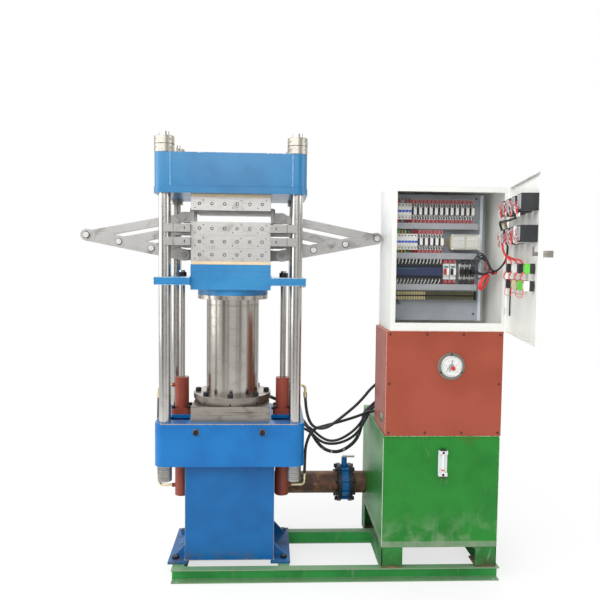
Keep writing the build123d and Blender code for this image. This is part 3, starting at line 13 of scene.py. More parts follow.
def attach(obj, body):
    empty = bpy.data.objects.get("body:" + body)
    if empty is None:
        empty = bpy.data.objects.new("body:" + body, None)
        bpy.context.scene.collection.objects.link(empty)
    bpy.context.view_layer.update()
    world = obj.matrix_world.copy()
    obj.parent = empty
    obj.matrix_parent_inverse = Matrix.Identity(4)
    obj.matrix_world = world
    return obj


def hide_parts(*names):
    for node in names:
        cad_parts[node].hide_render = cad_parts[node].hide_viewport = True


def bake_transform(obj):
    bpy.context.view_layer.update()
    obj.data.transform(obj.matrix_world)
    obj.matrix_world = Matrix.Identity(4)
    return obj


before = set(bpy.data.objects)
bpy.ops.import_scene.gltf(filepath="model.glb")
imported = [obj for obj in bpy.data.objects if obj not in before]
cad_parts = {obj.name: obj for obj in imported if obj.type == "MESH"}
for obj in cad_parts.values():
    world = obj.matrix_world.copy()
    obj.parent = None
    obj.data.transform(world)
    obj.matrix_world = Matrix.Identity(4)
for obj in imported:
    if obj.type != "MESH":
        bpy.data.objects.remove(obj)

LOG = logging.getLogger("foaming_press")
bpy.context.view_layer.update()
MM = 0.001
# The press centre line is X 0, Y 0 in the builder's millimetres; the frame's origin is the anchor centre.
SHIFT = np.array([-555, 27.75, 0])
FORWARD = (0.0, -1.0, 0.0)
BACK = (0.0, 1.0, 0.0)
DOWN = (0.0, 0.0, -1.0)
WHITE_LIGHT = (1.0, 1.0, 1.0, 1.0)
# How a CAD node is merged, softened and shaded
MERGE_REACH = 0.02 * MM
FLAT_ANGLE = math.radians(0.4)
NODE_SHARP = math.radians(35)
PIECE_SHARP = math.radians(38)
BEVEL_ANGLE = math.radians(40)
BEVEL_STEPS = 2
NORMAL_WEIGHT = 80


class Body(Enum):
    """The CAD bodies that pieces ride on."""

    FRAME = "frame"
    HANGERS = "hangers"
    TABLE = "table"
    UPPER_MIDDLE = "upper_middle"
    LOWER_MIDDLE = "lower_middle"
    DOOR = "door"
    POINTER = "gauge_pointer"
    DISC = "valve_disc"
    UPPER_ARM_RIGHT = "upper_arm_right"
    UPPER_ARM_LEFT = "upper_arm_left"
    LOWER_ARM_RIGHT = "lower_arm_right"
    LOWER_ARM_LEFT = "lower_arm_left"
    LONG_LINK_RIGHT = "long_link_right"
    LONG_LINK_LEFT = "long_link_left"
    SHORT_LINK_RIGHT = "short_link_right"
    SHORT_LINK_LEFT = "short_link_left"


class Axis(Enum):
    """The three directions, by their place in a point."""

    X = 0
    Y = 1
    Z = 2


def to_frame(points: Sequence) -> np.ndarray:
    """Turn press millimetres into the frame's metres."""
    return (np.array(points, float) + SHIFT) * MM


def placed(name: str, data: Optional[bpy.types.ID]) -> bpy.types.Object:
    """Put a new object with that data in the scene."""
    made = bpy.data.objects.new(name, data)
    bpy.context.scene.collection.objects.link(made)
    return made


def colour_of(code: str) -> tuple[float, float, float, float]:
    """Turn a screen colour code into linear light.

    Args:
        code: six hexadecimal digits after a hash sign.

    Returns:
        Red, green, blue and alpha, linear.
    """
    parts = np.array([int(code[i:i + 2], 16) for i in (1, 3, 5)]) / 255
    linear = np.where(parts <= 0.04045, parts / 12.92, ((parts + 0.055) / 1.055) ** 2.4)
    return (*linear.tolist(), 1.0)


def maths(operation: str, number_first: bool = False) -> Callable[["Value", "Number"], "Value"]:
    """Make an operator that adds one Math node with this value first, or with the number first."""
    def operator(value: "Value", other: "Number") -> "Value":
        """Join the two by the Math node."""
        inputs = {0: other, 1: value} if number_first else {0: value, 1: other}
        return value.graph.node("ShaderNodeMath", {"operation": operation}, inputs)
    return operator


class Value:
    """A socket of a shader graph; Python's operators on it add Math nodes."""

    def __init__(self, graph: "Nodes", socket: bpy.types.NodeSocket) -> None:
        """Wrap one output socket of a tree."""
        self.graph = graph
        self.socket = socket

    __add__ = __radd__ = maths("ADD")
    __sub__ = maths("SUBTRACT")
    __rsub__ = maths("SUBTRACT", number_first=True)
    __mul__ = __rmul__ = maths("MULTIPLY")
    __truediv__ = maths("DIVIDE")
    __rtruediv__ = maths("DIVIDE", number_first=True)
    lesser = maths("MINIMUM")
    greater = maths("MAXIMUM")

    def __abs__(self) -> "Value":
        """Size without sign."""
        return self.graph.node("ShaderNodeMath", {"operation": "ABSOLUTE"}, {0: self})

    def ease(self, low: float, high: float) -> "Value":
        """Run smoothly from 0 at low to 1 at high, and stay there."""
        return self.graph.node("ShaderNodeMapRange", {"interpolation_type": "SMOOTHSTEP"},
                               {0: self, 1: low, 2: high, 3: 0.0, 4: 1.0})


Number = Union[Value, float]


class Nodes:
    """The nodes of one shader tree, with its output at the end."""

    def __init__(self, tree: bpy.types.NodeTree, end: str) -> None:
        """Empty a tree and give it an output of that type."""
        tree.nodes.clear()
        self.tree = tree
        self.output = tree.nodes.new(end)

    def end_with(self, value: Value) -> None:
        """Link the last shader to the output."""
        self.tree.links.new(value.socket, self.output.inputs[0])

    def node(self, kind: str, settings: dict, inputs: dict, output: Union[int, str] = 0) -> Value:
        """Add any node.

        Args:
            kind: the node's type.
            settings: its properties, set first.
            inputs: socket name or number to a value, a number or a colour.
            output: which output to return.

        Returns:
            The chosen output.
        """
        made = self.tree.nodes.new(kind)
        for key, value in settings.items():
            setattr(made, key, value)
        for key, value in inputs.items():
            if isinstance(value, Value):
                self.tree.links.new(value.socket, made.inputs[key])
            else:
                made.inputs[key].default_value = value
        return Value(self, made.outputs[output])


class Graph(Nodes):
    """A material's nodes, with one Principled shader at the end."""

    def __init__(self, name: str) -> None:
        """Start an empty material of that name."""
        self.material = bpy.data.materials.new(name)
        self.material.use_nodes = True
        super().__init__(self.material.node_tree, "ShaderNodeOutputMaterial")
        self.shader = self.tree.nodes.new("ShaderNodeBsdfPrincipled")
        self.end_with(Value(self, self.shader.outputs[0]))
        self._coordinates: Optional[Value] = None

    def place(self) -> Value:
        """The object's own coordinates, which are the frame's, in metres."""
        if self._coordinates is None:
            self._coordinates = self.node("ShaderNodeTexCoord", {}, {}, "Object")
        return self._coordinates

    def stretched(self, scale: Sequence[float], turn: Sequence[float] = (0.0, 0.0, 0.0)) -> Value:
        """Coordinates scaled, and turned in radians, about the frame's origin."""
        return self.node("ShaderNodeMapping", {}, {"Vector": self.place(), "Rotation": turn, "Scale": scale})

    def axis(self, axis: Axis) -> Value:
        """One coordinate in metres."""
        return self.node("ShaderNodeSeparateXYZ", {}, {0: self.place()}, axis.value)

    def noise(self, scale: float, detail: float = 3.0, vector: Optional[Value] = None,
              distortion: float = 0.0, rough: float = 0.55) -> Value:
        """Cloudy noise from 0 to 1; scale is patches per metre."""
        return self.node("ShaderNodeTexNoise", {}, {
            "Vector": vector or self.place(), "Scale": scale, "Detail": detail, "Distortion": distortion,
            "Roughness": rough})

    def cells(self, scale: float, vector: Optional[Value] = None) -> Value:
        """Distance to the nearest of a scatter of points, per metre."""
        return self.node("ShaderNodeTexVoronoi", {}, {"Vector": vector or self.place(), "Scale": scale})

    def blend(self, first: Union[Value, str], second: str, share: Number) -> Value:
        """Mix a colour, or a colour code, with a colour code by a share."""
        low = first if isinstance(first, Value) else colour_of(first)
        return self.node("ShaderNodeMix", {"data_type": "RGBA"}, {0: share, 6: low, 7: colour_of(second)}, 2)

    def box_edges(self, low: Sequence[float], high: Sequence[float], width: float) -> Value:
        """Nearness to the edges of a box: on a face one distance is zero, near an edge a second one is too.

        Args:
            low: lowest corner in press millimetres.
            high: highest corner in press millimetres.
            width: how far the mask reaches from an edge, in millimetres.

        Returns:
            1 on an edge, falling to 0 at the width.
        """
        corners = to_frame([low, high])
        centre, half = corners.mean(0), (corners[1] - corners[0]) / 2
        depth = [abs(self.axis(axis) - float(centre[axis.value])) - float(half[axis.value]) for axis in Axis]
        pairs = [depth[0].lesser(depth[1]), depth[1].lesser(depth[2]), depth[0].lesser(depth[2])]
        near = pairs[0].greater(pairs[1]).greater(pairs[2]).ease(-width * MM, 0.0)
        outside = depth[0].greater(depth[1]).greater(depth[2])
        return near * (1 - outside.ease(0.004, 0.007))

    def bump(self, height: Value, strength: float, distance: float) -> None:
        """Feed a height, in shares of distance in metres, to the shader's normal."""
        inputs = {"Height": height, "Strength": strength, "Distance": distance}
        bumped = self.node("ShaderNodeBump", {}, inputs)
        self.tree.links.new(bumped.socket, self.shader.inputs["Normal"])

    def set(self, **values: Union[Value, float, tuple]) -> None:
        """Set or link the shader's sockets, with spaces written as underscores."""
        for key, value in values.items():
            socket = self.shader.inputs[key.replace("_", " ").title().replace("Ior", "IOR")]
            if isinstance(value, Value):
                self.tree.links.new(value.socket, socket)
            else:
                socket.default_value = value


@dataclass(frozen=True)
class Enamel:
    """Brushed or sprayed machine enamel, with wear on given box edges, stains and runs.

    Attributes:
        name: the material's name.
        colour: main colour code.
        shade: colour code of the patches.
        bare: colour code where it is worn.
        edges: boxes as (low, high, width) in press millimetres, whose edges are worn.
        scuffs: share of the surface scuffed pale, from 0 to 1.
        low_dirt: height in metres below which dirt gathers, or 0 for none.
        rough: roughness of clean paint.
        peel: bump of the paint's skin.
        seed_turn: turns the patterns, so that two pieces differ.
        gloss: the shader's specular level.
        dirt: colour code of the low dirt.
        dusty: pairs of heights in millimetres between which the paint is greyed.
    """

    name: str
    colour: str
    shade: str
    bare: str = "#C9B79A"
    edges: tuple = ()
    scuffs: float = 0.0
    low_dirt: float = 0.0
    rough: float = 0.32
    peel: float = 0.25
    seed_turn: float = 0.3
    gloss: float = 0.3
    dirt: str = "#5A5646"
    dusty: tuple = ()

    def build(self) -> bpy.types.Material:
        """Make the material."""
        graph = Graph(self.name)
        turned = graph.stretched((1.0, 1.0, 1.0), (self.seed_turn, 0.0, self.seed_turn))
        patches = graph.noise(5.0, 4.0, turned)
        mottle = graph.noise(70.0, 3.0, turned)
        colour = graph.blend(self.colour, self.shade, patches.ease(0.35, 0.7))
        colour = graph.blend(colour, self.shade, mottle.ease(0.5, 0.85) * 0.35)
        rough = patches * 0.12 + (self.rough - 0.05)
        if self.scuffs:
            drawn = graph.stretched((1.0, 1.0, 0.3), (0.1, 0.2, self.seed_turn))
            streaks = graph.noise(26.0, 5.0, drawn, 0.6)
            scuff = streaks.ease(0.56, 0.72) * patches.ease(0.42, 0.62) * self.scuffs
            colour = graph.blend(colour, "#8FA98C", scuff)
            rough = rough + scuff * 0.25
        if self.low_dirt:
            height = graph.axis(Axis.Z)
            grime = graph.noise(14.0, 5.0).ease(0.4, 0.68)
            dirt = (1 - height.ease(self.low_dirt * 0.35, self.low_dirt)) * grime
            colour = graph.blend(colour, self.dirt, dirt * 0.75)
            rough = rough + dirt * 0.3
        for low, high in self.dusty:
            height = graph.axis(Axis.Z)
            band = height.ease((low - 3) * MM, low * MM) * (1 - height.ease(high * MM, (high + 3) * MM))
            colour = graph.blend(colour, "#8B9583", band * (graph.noise(34.0, 4.0) * 0.7 + 0.2))
        for low, high, width in self.edges:
            grain = graph.noise(95.0, 4.0)
            worn = (graph.box_edges(low, high, width) + grain * 0.9).ease(1.22, 1.36)
            colour = graph.blend(colour, self.bare, worn)
            rough = rough + worn * 0.15
        graph.set(base_color=colour, roughness=rough, specular_ior_level=self.gloss)
        graph.bump(graph.noise(420.0, 2.0) * 0.6 + graph.noise(28.0, 2.0) * 0.8, self.peel, 0.0012)
        return graph.material


@dataclass(frozen=True)
class GroundSteel:
    """Turned, ground or milled steel with fine lines along or round one axis and oily patches.

    Attributes:
        name: the material's name.
        colour: main colour code.
        shade: colour code of the oil film.
        lines: scale of the lines on each axis, in lines per metre.
        rough: roughness between the patches.
        spread: how much the roughness varies.
        smears: share of blotches, from 0 to 1.
        bite: bump of the lines.
        streak: how far the lines show in the colour.
    """

    name: str
    colour: str = "#C4C2BE"
    shade: str = "#7B766D"
    lines: tuple = (8, 8, 700)
    rough: float = 0.22
    spread: float = 0.16
    smears: float = 0.35
    bite: float = 0.12
    streak: float = 0.22

    def build(self) -> bpy.types.Material:
        """Make the material."""
        graph = Graph(self.name)
        fine = graph.noise(1.0, 4.0, graph.stretched(self.lines))
        blotch = graph.noise(9.0, 5.0, None, 0.8)
        film = blotch.ease(0.5, 0.72) * self.smears
        colour = graph.blend(self.colour, self.shade, film)
        colour = graph.blend(colour, self.shade, fine.ease(0.5, 0.72) * self.streak)
        graph.set(base_color=colour, roughness=fine * self.spread + film * 0.15 + self.rough, metallic=1.0)
        graph.bump(fine, self.bite, 0.0006)
        return graph.material


@dataclass(frozen=True)
class DarkMetal:
    """Black oxide or cast metal: dark, slightly oily, with a grainy skin."""

    name: str
    colour: str = "#2B2C2F"
    light: str = "#55565A"
    rough: float = 0.42
    metal: float = 0.8

    def build(self) -> bpy.types.Material:
        """Make the material."""
        graph = Graph(self.name)
        grain = graph.noise(160.0, 4.0)
        graph.set(base_color=graph.blend(self.colour, self.light, grain.ease(0.45, 0.8)),
                  roughness=grain * 0.25 + (self.rough - 0.1), metallic=self.metal)
        graph.bump(grain, 0.25, 0.0006)
        return graph.material


@dataclass(frozen=True)
class Rust:
    """Old brown primer with rust patches and pale scrapes."""

    name: str

    def build(self) -> bpy.types.Material:
        """Make the material."""
        graph = Graph(self.name)
        patches = graph.noise(16.0, 6.0, None, 0.5)
        flecks = graph.noise(110.0, 4.0)
        colour = graph.blend("#5A4136", "#8A5B40", patches.ease(0.42, 0.62))
        colour = graph.blend(colour, "#B28A68", (flecks + patches * 0.5).ease(0.82, 0.98) * 0.8)
        colour = graph.blend(colour, "#33261F", graph.noise(7.0, 4.0).ease(0.58, 0.75) * 0.7)
        graph.set(base_color=colour, roughness=patches * 0.3 + 0.45, metallic=0.15)
        graph.bump(flecks + patches * 0.6, 0.5, 0.001)
        return graph.material


@dataclass(frozen=True)
class Moulded:
    """Moulded plastic, board or rubber with a fine skin and slight dirt.

    Attributes:
        name: the material's name.
        colour: main colour code.
        shade: second colour code.
        rough: roughness.
        grain: noise patches per metre of the skin.
        bite: bump of the skin.
        mix: how far the second colour shows.
    """

    name: str
    colour: str
    shade: str
    rough: float = 0.45
    grain: float = 260.0
    bite: float = 0.15
    mix: float = 0.5

    def build(self) -> bpy.types.Material:
        """Make the material."""
        graph = Graph(self.name)
        skin = graph.noise(self.grain, 3.0)
        cloud = graph.noise(18.0, 4.0)
        share = (skin * 0.4 + cloud * 0.6).ease(0.4, 0.75) * self.mix
        graph.set(base_color=graph.blend(self.colour, self.shade, share),
                  roughness=cloud * 0.15 + (self.rough - 0.07))
        graph.bump(skin, self.bite, 0.0005)
        return graph.material


@dataclass(frozen=True)
class BraidedHose:
    """Black rubber hose over braid, with pale flecks that follow the hose's own length."""

    name: str
    flecks: float

    def build(self) -> bpy.types.Material:
        """Make the material."""
        graph = Graph(self.name)
        weave = graph.noise(900.0, 2.0)
        pale = graph.cells(62.0, graph.stretched((1.0, 1.0, 0.4), (0.4, 0.2, 0.6)))
        fleck = (1 - pale.ease(0.16, 0.3)) * self.flecks
        colour = graph.blend("#1B1C1E", "#34363A", graph.noise(30.0, 3.0).ease(0.4, 0.75))
        colour = graph.blend(colour, "#D5D6D2", fleck)
        graph.set(base_color=colour, roughness=weave * 0.2 + 0.36)
        graph.bump(weave, 0.35, 0.0008)
        return graph.material


@dataclass(frozen=True)
class Clear:
    """Clear glass or acrylic, with faint smears."""

    name: str
    colour: str = "#E8F1EE"
    alpha: float = 0.25
    rough: float = 0.08

    def build(self) -> bpy.types.Material:
        """Make the material."""
        graph = Graph(self.name)
        smear = graph.noise(40.0, 3.0)
        graph.set(base_color=colour_of(self.colour), roughness=smear * 0.1 + self.rough,
                  alpha=smear * 0.12 + self.alpha)
        return graph.material


Finish = Union[Enamel, GroundSteel, DarkMetal, Rust, Moulded, BraidedHose, Clear]
_MADE: dict[str, bpy.types.Material] = {}


def material_of(finish: Finish) -> bpy.types.Material:
    """Make a finish's material once, and return it again afterwards."""
    if finish.name not in _MADE:
        _MADE[finish.name] = finish.build()
    return _MADE[finish.name]


@dataclass
class Shape:
    """A mesh before it becomes an object: points in press millimetres and faces by corner count."""

    points: np.ndarray
    faces: list[np.ndarray]

    def __add__(self, other: "Shape") -> "Shape":
        """Both shapes together."""
        return Shape(np.vstack([self.points, other.points]),
                     self.faces + [rows + len(self.points) for rows in other.faces])

    def moved(self, x: float = 0.0, y: float = 0.0, z: float = 0.0) -> "Shape":
        """The shape moved by millimetres."""
        return Shape(self.points + np.array([x, y, z]), self.faces)

    def turned(self, axis: Axis, degrees: float, about: Sequence[float] = (0.0, 0.0, 0.0)) -> "Shape":
        """The shape turned about an axis through a point."""
        turn = np.array(Matrix.Rotation(math.radians(degrees), 3, axis.name))
        centre = np.array(about, float)
        return Shape((self.points - centre) @ turn.T + centre, self.faces)

    def facing(self, direction: Sequence[float]) -> "Shape":
        """The shape with its +Z turned to a direction."""
        turn = np.array(Vector(direction).to_track_quat("Z", "Y").to_matrix())
        return Shape(self.points @ turn.T, self.faces)

    def repeated(self, places: np.ndarray) -> "Shape":
        """A copy at each place, worked out as one array."""
        places = np.asarray(places, float).reshape(-1, 3)
        count = len(self.points)
        points = (places[:, None, :] + self.points[None, :, :]).reshape(-1, 3)
        steps = np.arange(len(places)) * count
        faces = [(rows[None, :, :] + steps[:, None, None]).reshape(-1, rows.shape[1]) for rows in self.faces]
        return Shape(points, faces)


def gathered(shapes: Sequence[Shape]) -> Shape:
    """Several shapes as one."""
    total = shapes[0]
    for shape in shapes[1:]:
        total = total + shape
    return total


def block(xs: Sequence[float], ys: Sequence[float], zs: Sequence[float], edge: float = 1.0) -> Shape:
    """A box from its ranges in X, Y and Z, with its edges cut at 45 degrees.

    Each of the eight corners gives three points: on each of its three faces, one edge width in from the
    other two faces. Six faces, twelve edge strips and eight corner triangles join them. A corner's number
    is the sum of the weights of the axes on whose high side it lies.
    """
    low, high = np.sort(np.array([xs, ys, zs], float), axis=1).T
    signs = np.array([[x, y, z] for x in (-1, 1) for y in (-1, 1) for z in (-1, 1)], float)
    half, centre = (high - low) / 2, (high + low) / 2
    inset = min(edge, 0.45 * float(half.min())) * (1 - np.eye(3))
    points = (centre + signs[:, None, :] * (half - inset[None, :, :])).reshape(-1, 3)
    weights = (4, 2, 1)
    quads = []
    for axis in range(3):
        first, second = (axis + 1) % 3, (axis + 2) % 3
        run, a, b = weights[axis], weights[first], weights[second]
        for side in (0, run):
            quads.append([3 * (side + corner) + axis for corner in (0, a, a + b, b)])
        for start in (0, a, b, a + b):
            end = start + run
            quads.append([3 * start + first, 3 * end + first, 3 * end + second, 3 * start + second])
    triangles = np.arange(24).reshape(8, 3)
    return Shape(points, [outward(points, np.array(rows), centre) for rows in (quads, triangles)])


def outward(points: np.ndarray, rows: np.ndarray, centre: np.ndarray) -> np.ndarray:
    """Turn faces of a convex shape so that they point away from its centre."""
    corner = points[rows]
    normal = np.cross(corner[:, 1] - corner[:, 0], corner[:, 2] - corner[:, 1])
    inside = np.einsum("ij,ij->i", normal, corner.mean(1) - centre) < 0
    rows = rows.copy()
    rows[inside] = rows[inside][:, ::-1]
    return rows


def between_rings(count: int, sides: int) -> np.ndarray:
    """Quads that join each ring of points to the next one."""
    step = np.arange(sides)
    after = (step + 1) % sides
    base = (np.arange(count - 1) * sides)[:, None]
    return np.stack([base + step, base + after, base + sides + after, base + sides + step], -1).reshape(-1, 4)


def lathe(profile: Sequence[tuple[float, float]], segments: int = 32) -> Shape:
    """Turn a profile of (radius, height) pairs about Z.

    A point is (r cos a, r sin a, h). The first and last pairs are closed with a fan about the axis.

    Args:
        profile: pairs from the bottom centre outwards and up to the top centre.
        segments: steps round the axis.

    Returns:
        A closed shape about the Z axis.
    """
    pairs = np.array(profile, float)
    angle = np.linspace(0, 2 * np.pi, segments, endpoint=False)
    radius, height = pairs[:, :1], np.repeat(pairs[:, 1:], segments, 1)
    points = np.stack([radius * np.cos(angle), radius * np.sin(angle), height], -1).reshape(-1, 3)
    rows, step = len(pairs), np.arange(segments)
    after = (step + 1) % segments
    poles = np.array([[0, 0, pairs[0, 1]], [0, 0, pairs[-1, 1]]])
    low = np.stack([np.full(segments, rows * segments), after, step], -1)
    top = (rows - 1) * segments
    high = np.stack([np.full(segments, rows * segments + 1), top + step, top + after], -1)
    return Shape(np.vstack([points, poles]), [between_rings(rows, segments), np.concatenate([low, high])])


def smooth_path(points: Sequence[Sequence[float]], steps: int = 8) -> np.ndarray:
    """A Catmull-Rom line through points: each span is the cubic with the neighbours' chord as its slope."""
    given = np.array(points, float)
    padded = np.vstack([2 * given[0] - given[1], given, 2 * given[-1] - given[-2]])
    t = np.linspace(0, 1, steps, endpoint=False)[:, None]
    spans = []
    for a, b, c, d in zip(padded, padded[1:], padded[2:], padded[3:]):
        spans.append(0.5 * (2 * b + (c - a) * t + (2 * a - 5 * b + 4 * c - d) * t ** 2
                            + (3 * b - a - 3 * c + d) * t ** 3))
    return np.vstack(spans + [given[-1:]])


def along(path: np.ndarray, radius: Union[float, np.ndarray], sides: int = 8, flat: float = 1.0) -> Shape:
    """Carry a round or flattened ring along a path.

    At each path point the ring is p + r (cos a n + flat sin a b), where n and b are square to the path's
    slope, and n starts level and is carried along with the least turning.
    """
    path = np.asarray(path, float)
    slope = np.gradient(path, axis=0)
    slope /= np.linalg.norm(slope, axis=1, keepdims=True)
    guess = np.array([0.0, 0.0, 1.0]) if abs(slope[0][2]) < 0.9 else np.array([0.0, 1.0, 0.0])
    normals = []
    for direction in slope:
        guess = guess - direction * guess.dot(direction)
        guess = guess / np.linalg.norm(guess)
        normals.append(guess)
    normal = np.array(normals)
    side = np.cross(slope, normal)
    angle = np.linspace(0, 2 * np.pi, sides, endpoint=False)
    radii = np.broadcast_to(np.asarray(radius, float), (len(path),))
    ring = (np.cos(angle)[None, :, None] * normal[:, None, :]
            + flat * np.sin(angle)[None, :, None] * side[:, None, :])
    points = (path[:, None, :] + radii[:, None, None] * ring).reshape(-1, 3)
    count, step = len(path), np.arange(sides)
    return Shape(points, [between_rings(count, sides), np.array([step[::-1], (count - 1) * sides + step])])


def weld_bead(start: Sequence[float], end: Sequence[float], radius: float = 5.0) -> Shape:
    """A bead of overlapping ripples: its radius follows the size of a sine along its length."""
    start, end = np.array(start, float), np.array(end, float)
    length = float(np.linalg.norm(end - start))
    steps = max(8, int(length / 2.2))
    share = np.linspace(0, 1, steps)
    wander = np.sin(share * length / 17.0) * 0.4
    ripple = radius * (0.82 + 0.18 * np.abs(np.sin(share * length / 5.0)) + 0.05 * wander)
    ripple[[0, -1]] *= 0.5
    return along(start + (end - start) * share[:, None], ripple, 8)


def hex_screw(radius: float, height: float, across: float, sides: int = 24) -> Shape:
    """A round socket head with a hexagonal recess: a lathe whose inner rings take a six-sided radius."""
    angle = np.linspace(0, 2 * np.pi, sides, endpoint=False)
    six = math.cos(math.pi / 6) / np.cos((angle + math.pi / 6) % (math.pi / 3) - math.pi / 6)
    rings = [(radius, 0.0, 1.0), (radius, height * 0.86, 1.0), (radius * 0.9, height, 1.0),
             (across, height, six), (across, height * 0.45, six)]
    points = np.vstack([np.stack([r * form * np.cos(angle), r * form * np.sin(angle), np.full(sides, z)], -1)
                        for r, z, form in rings])
    step = np.arange(sides)
    caps = np.array([step[::-1], (len(rings) - 1) * sides + step])
    return Shape(points, [between_rings(len(rings), sides), caps])


def make_piece(name: str, parts: Sequence[tuple[Shape, Finish]], body: Body,
               replaces: Sequence[str] = ()) -> None:
    """Turn shapes into one object that rides on a body.

    Args:
        name: the piece's name.
        parts: shapes, each with its finish; they become one mesh.
        body: what it rides on.
        replaces: CAD nodes that it stands for.
    """
    points, faces, numbers, finishes, base = [], [], [], [], 0
    for shape, finish in parts:
        if finish not in finishes:
            finishes.append(finish)
        for rows in shape.faces:
            faces.extend((rows + base).tolist())
            numbers.extend([finishes.index(finish)] * len(rows))
        points.append(shape.points)
        base += len(shape.points)
    mesh = bpy.data.meshes.new(name)
    mesh.from_pydata(to_frame(np.vstack(points)).tolist(), [], faces)
    for finish in finishes:
        mesh.materials.append(material_of(finish))
    mesh.polygons.foreach_set("material_index", numbers)
    mesh.shade_smooth()
    mesh.set_sharp_from_angle(angle=PIECE_SHARP)
    mesh.update()
    made = placed(name, mesh)
    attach(made, body.value)
    if replaces:
        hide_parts(*replaces)
    LOG.info("%s: %d faces on %s", name, len(faces), body.value)


Region = tuple[Callable[[np.ndarray], np.ndarray], Finish]


def soften(node: str, body: Body, slot: str, finish: Finish, width: float,
           regions: Sequence[Region] = ()) -> None:
    """Replace a CAD node with a merged copy whose sharp edges are rounded by a bevel.

    Args:
        node: the CAD node.
        body: the body that it rides on.
        slot: the record's material slot; not used.
        finish: its finish.
        width: the bevel's width in millimetres.
        regions: further finishes, each with a function that picks faces by their centres in press
            millimetres.
    """
    work = bmesh.new()
    work.from_mesh(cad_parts[node].data)
    bmesh.ops.remove_doubles(work, verts=work.verts, dist=MERGE_REACH)
    bmesh.ops.dissolve_limit(work, angle_limit=FLAT_ANGLE, verts=work.verts, edges=work.edges)
    mesh = bpy.data.meshes.new(node + "_dressed")
    work.to_mesh(mesh)
    work.free()
    for layer in ("custom_normal", "sharp_edge", "sharp_face"):
        if layer in mesh.attributes:
            mesh.attributes.remove(mesh.attributes[layer])
    mesh.materials.clear()
    centres = np.empty(len(mesh.polygons) * 3)
    mesh.polygons.foreach_get("center", centres)
    centres = centres.reshape(-1, 3) / MM - SHIFT
    numbers = np.zeros(len(centres), int)
    mesh.materials.append(material_of(finish))
    for index, (picks, other) in enumerate(regions, 1):
        mesh.materials.append(material_of(other))
        numbers[picks(centres)] = index
    mesh.polygons.foreach_set("material_index", numbers)
    mesh.shade_smooth()
    mesh.set_sharp_from_angle(angle=NODE_SHARP)
    made = placed(mesh.name, mesh)
    bevel = made.modifiers.new("Rounded edges", "BEVEL")
    bevel.width = width * MM
    bevel.segments = BEVEL_STEPS
    bevel.limit_method = "ANGLE"
    bevel.angle_limit = BEVEL_ANGLE
    bevel.use_clamp_overlap = True
    weighted = made.modifiers.new("Even faces", "WEIGHTED_NORMAL")
    weighted.keep_sharp = True
    weighted.weight = NORMAL_WEIGHT
    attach(made, body.value)
    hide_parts(node)
    LOG.info("%s softened on %s", node, body.value)


def dress(node: str, finish: Finish) -> None:
    """Give a CAD node that stays as it is a finish."""
    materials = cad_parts[node].data.materials
    materials.clear()
    materials.append(material_of(finish))


def beads(rows: Sequence[tuple]) -> Shape:
    """Weld beads from rows of start, end, radius and the axes, such as "xy", that each is mirrored in."""
    shapes = []
    for start, end, radius, mirrors in rows:
        for turn_x in ((1, -1) if "x" in mirrors else (1,)):
            for turn_y in ((1, -1) if "y" in mirrors else (1,)):
                turns = np.array([turn_x, turn_y, 1.0])
                shapes.append(weld_bead(start * turns, end * turns, radius))
    return gathered(shapes)


def plain_disc(radius: float, low: float, high: float, round_off: float = 0.6, segments: int = 32) -> Shape:
    """A disc or short cylinder about Z with a rounded upper rim."""
    return lathe([(radius, low), (radius, high - round_off), (radius - round_off, high)], segments)


def words(text: str, size: float) -> Shape:
    """Plain numbers as flat triangles in the XY plane, centred on the origin."""
    curve = bpy.data.curves.new("number", "FONT")
    curve.body = text
    curve.size = size
    curve.align_x = "CENTER"
    curve.align_y = "CENTER"
    curve.resolution_u = 3
    holder = bpy.data.objects.new("number", curve)
    mesh = holder.to_mesh()
    mesh.calc_loop_triangles()
    points = np.empty(len(mesh.vertices) * 3)
    mesh.vertices.foreach_get("co", points)
    rows = np.empty(len(mesh.loop_triangles) * 3, int)
    mesh.loop_triangles.foreach_get("vertices", rows)
    holder.to_mesh_clear()
    bpy.data.objects.remove(holder)
    bpy.data.curves.remove(curve)
    points, rows = points.reshape(-1, 3), rows.reshape(-1, 3)
    corner = points[rows]
    down = np.cross(corner[:, 1] - corner[:, 0], corner[:, 2] - corner[:, 1])[:, 2] < 0
    rows[down] = rows[down][:, ::-1]
    return Shape(points, [rows])


class Tray:
    """Shapes with their finishes, to become one piece."""

    def __init__(self) -> None:
        """Start empty."""
        self.parts: list[tuple[Shape, Finish]] = []

    def add(self, finish: Finish, *shapes: Shape) -> None:
        """Put shapes in under a finish."""
        self.parts.extend((shape, finish) for shape in shapes)

    def moved(self, place: Sequence[float]) -> list[tuple[Shape, Finish]]:
        """The parts moved to a place."""
        return [(shape.moved(*place), finish) for shape, finish in self.parts]

    def blocks(self, rows: Sequence[tuple], places: Sequence = ((0.0, 0.0, 0.0),)) -> None:
        """Put in boxes from rows of finish, X, Y and Z range and edge, one of each at every place."""
        for finish, *ranges in rows:
            self.add(finish, block(*ranges).repeated(places))

    def wires(self, finish: Finish, lines: Sequence, radius: float, sides: int = 6, steps: int = 4) -> None:
        """Put in a round wire through each line of points."""
        self.add(finish, *[along(smooth_path(line, steps), radius, sides) for line in lines])


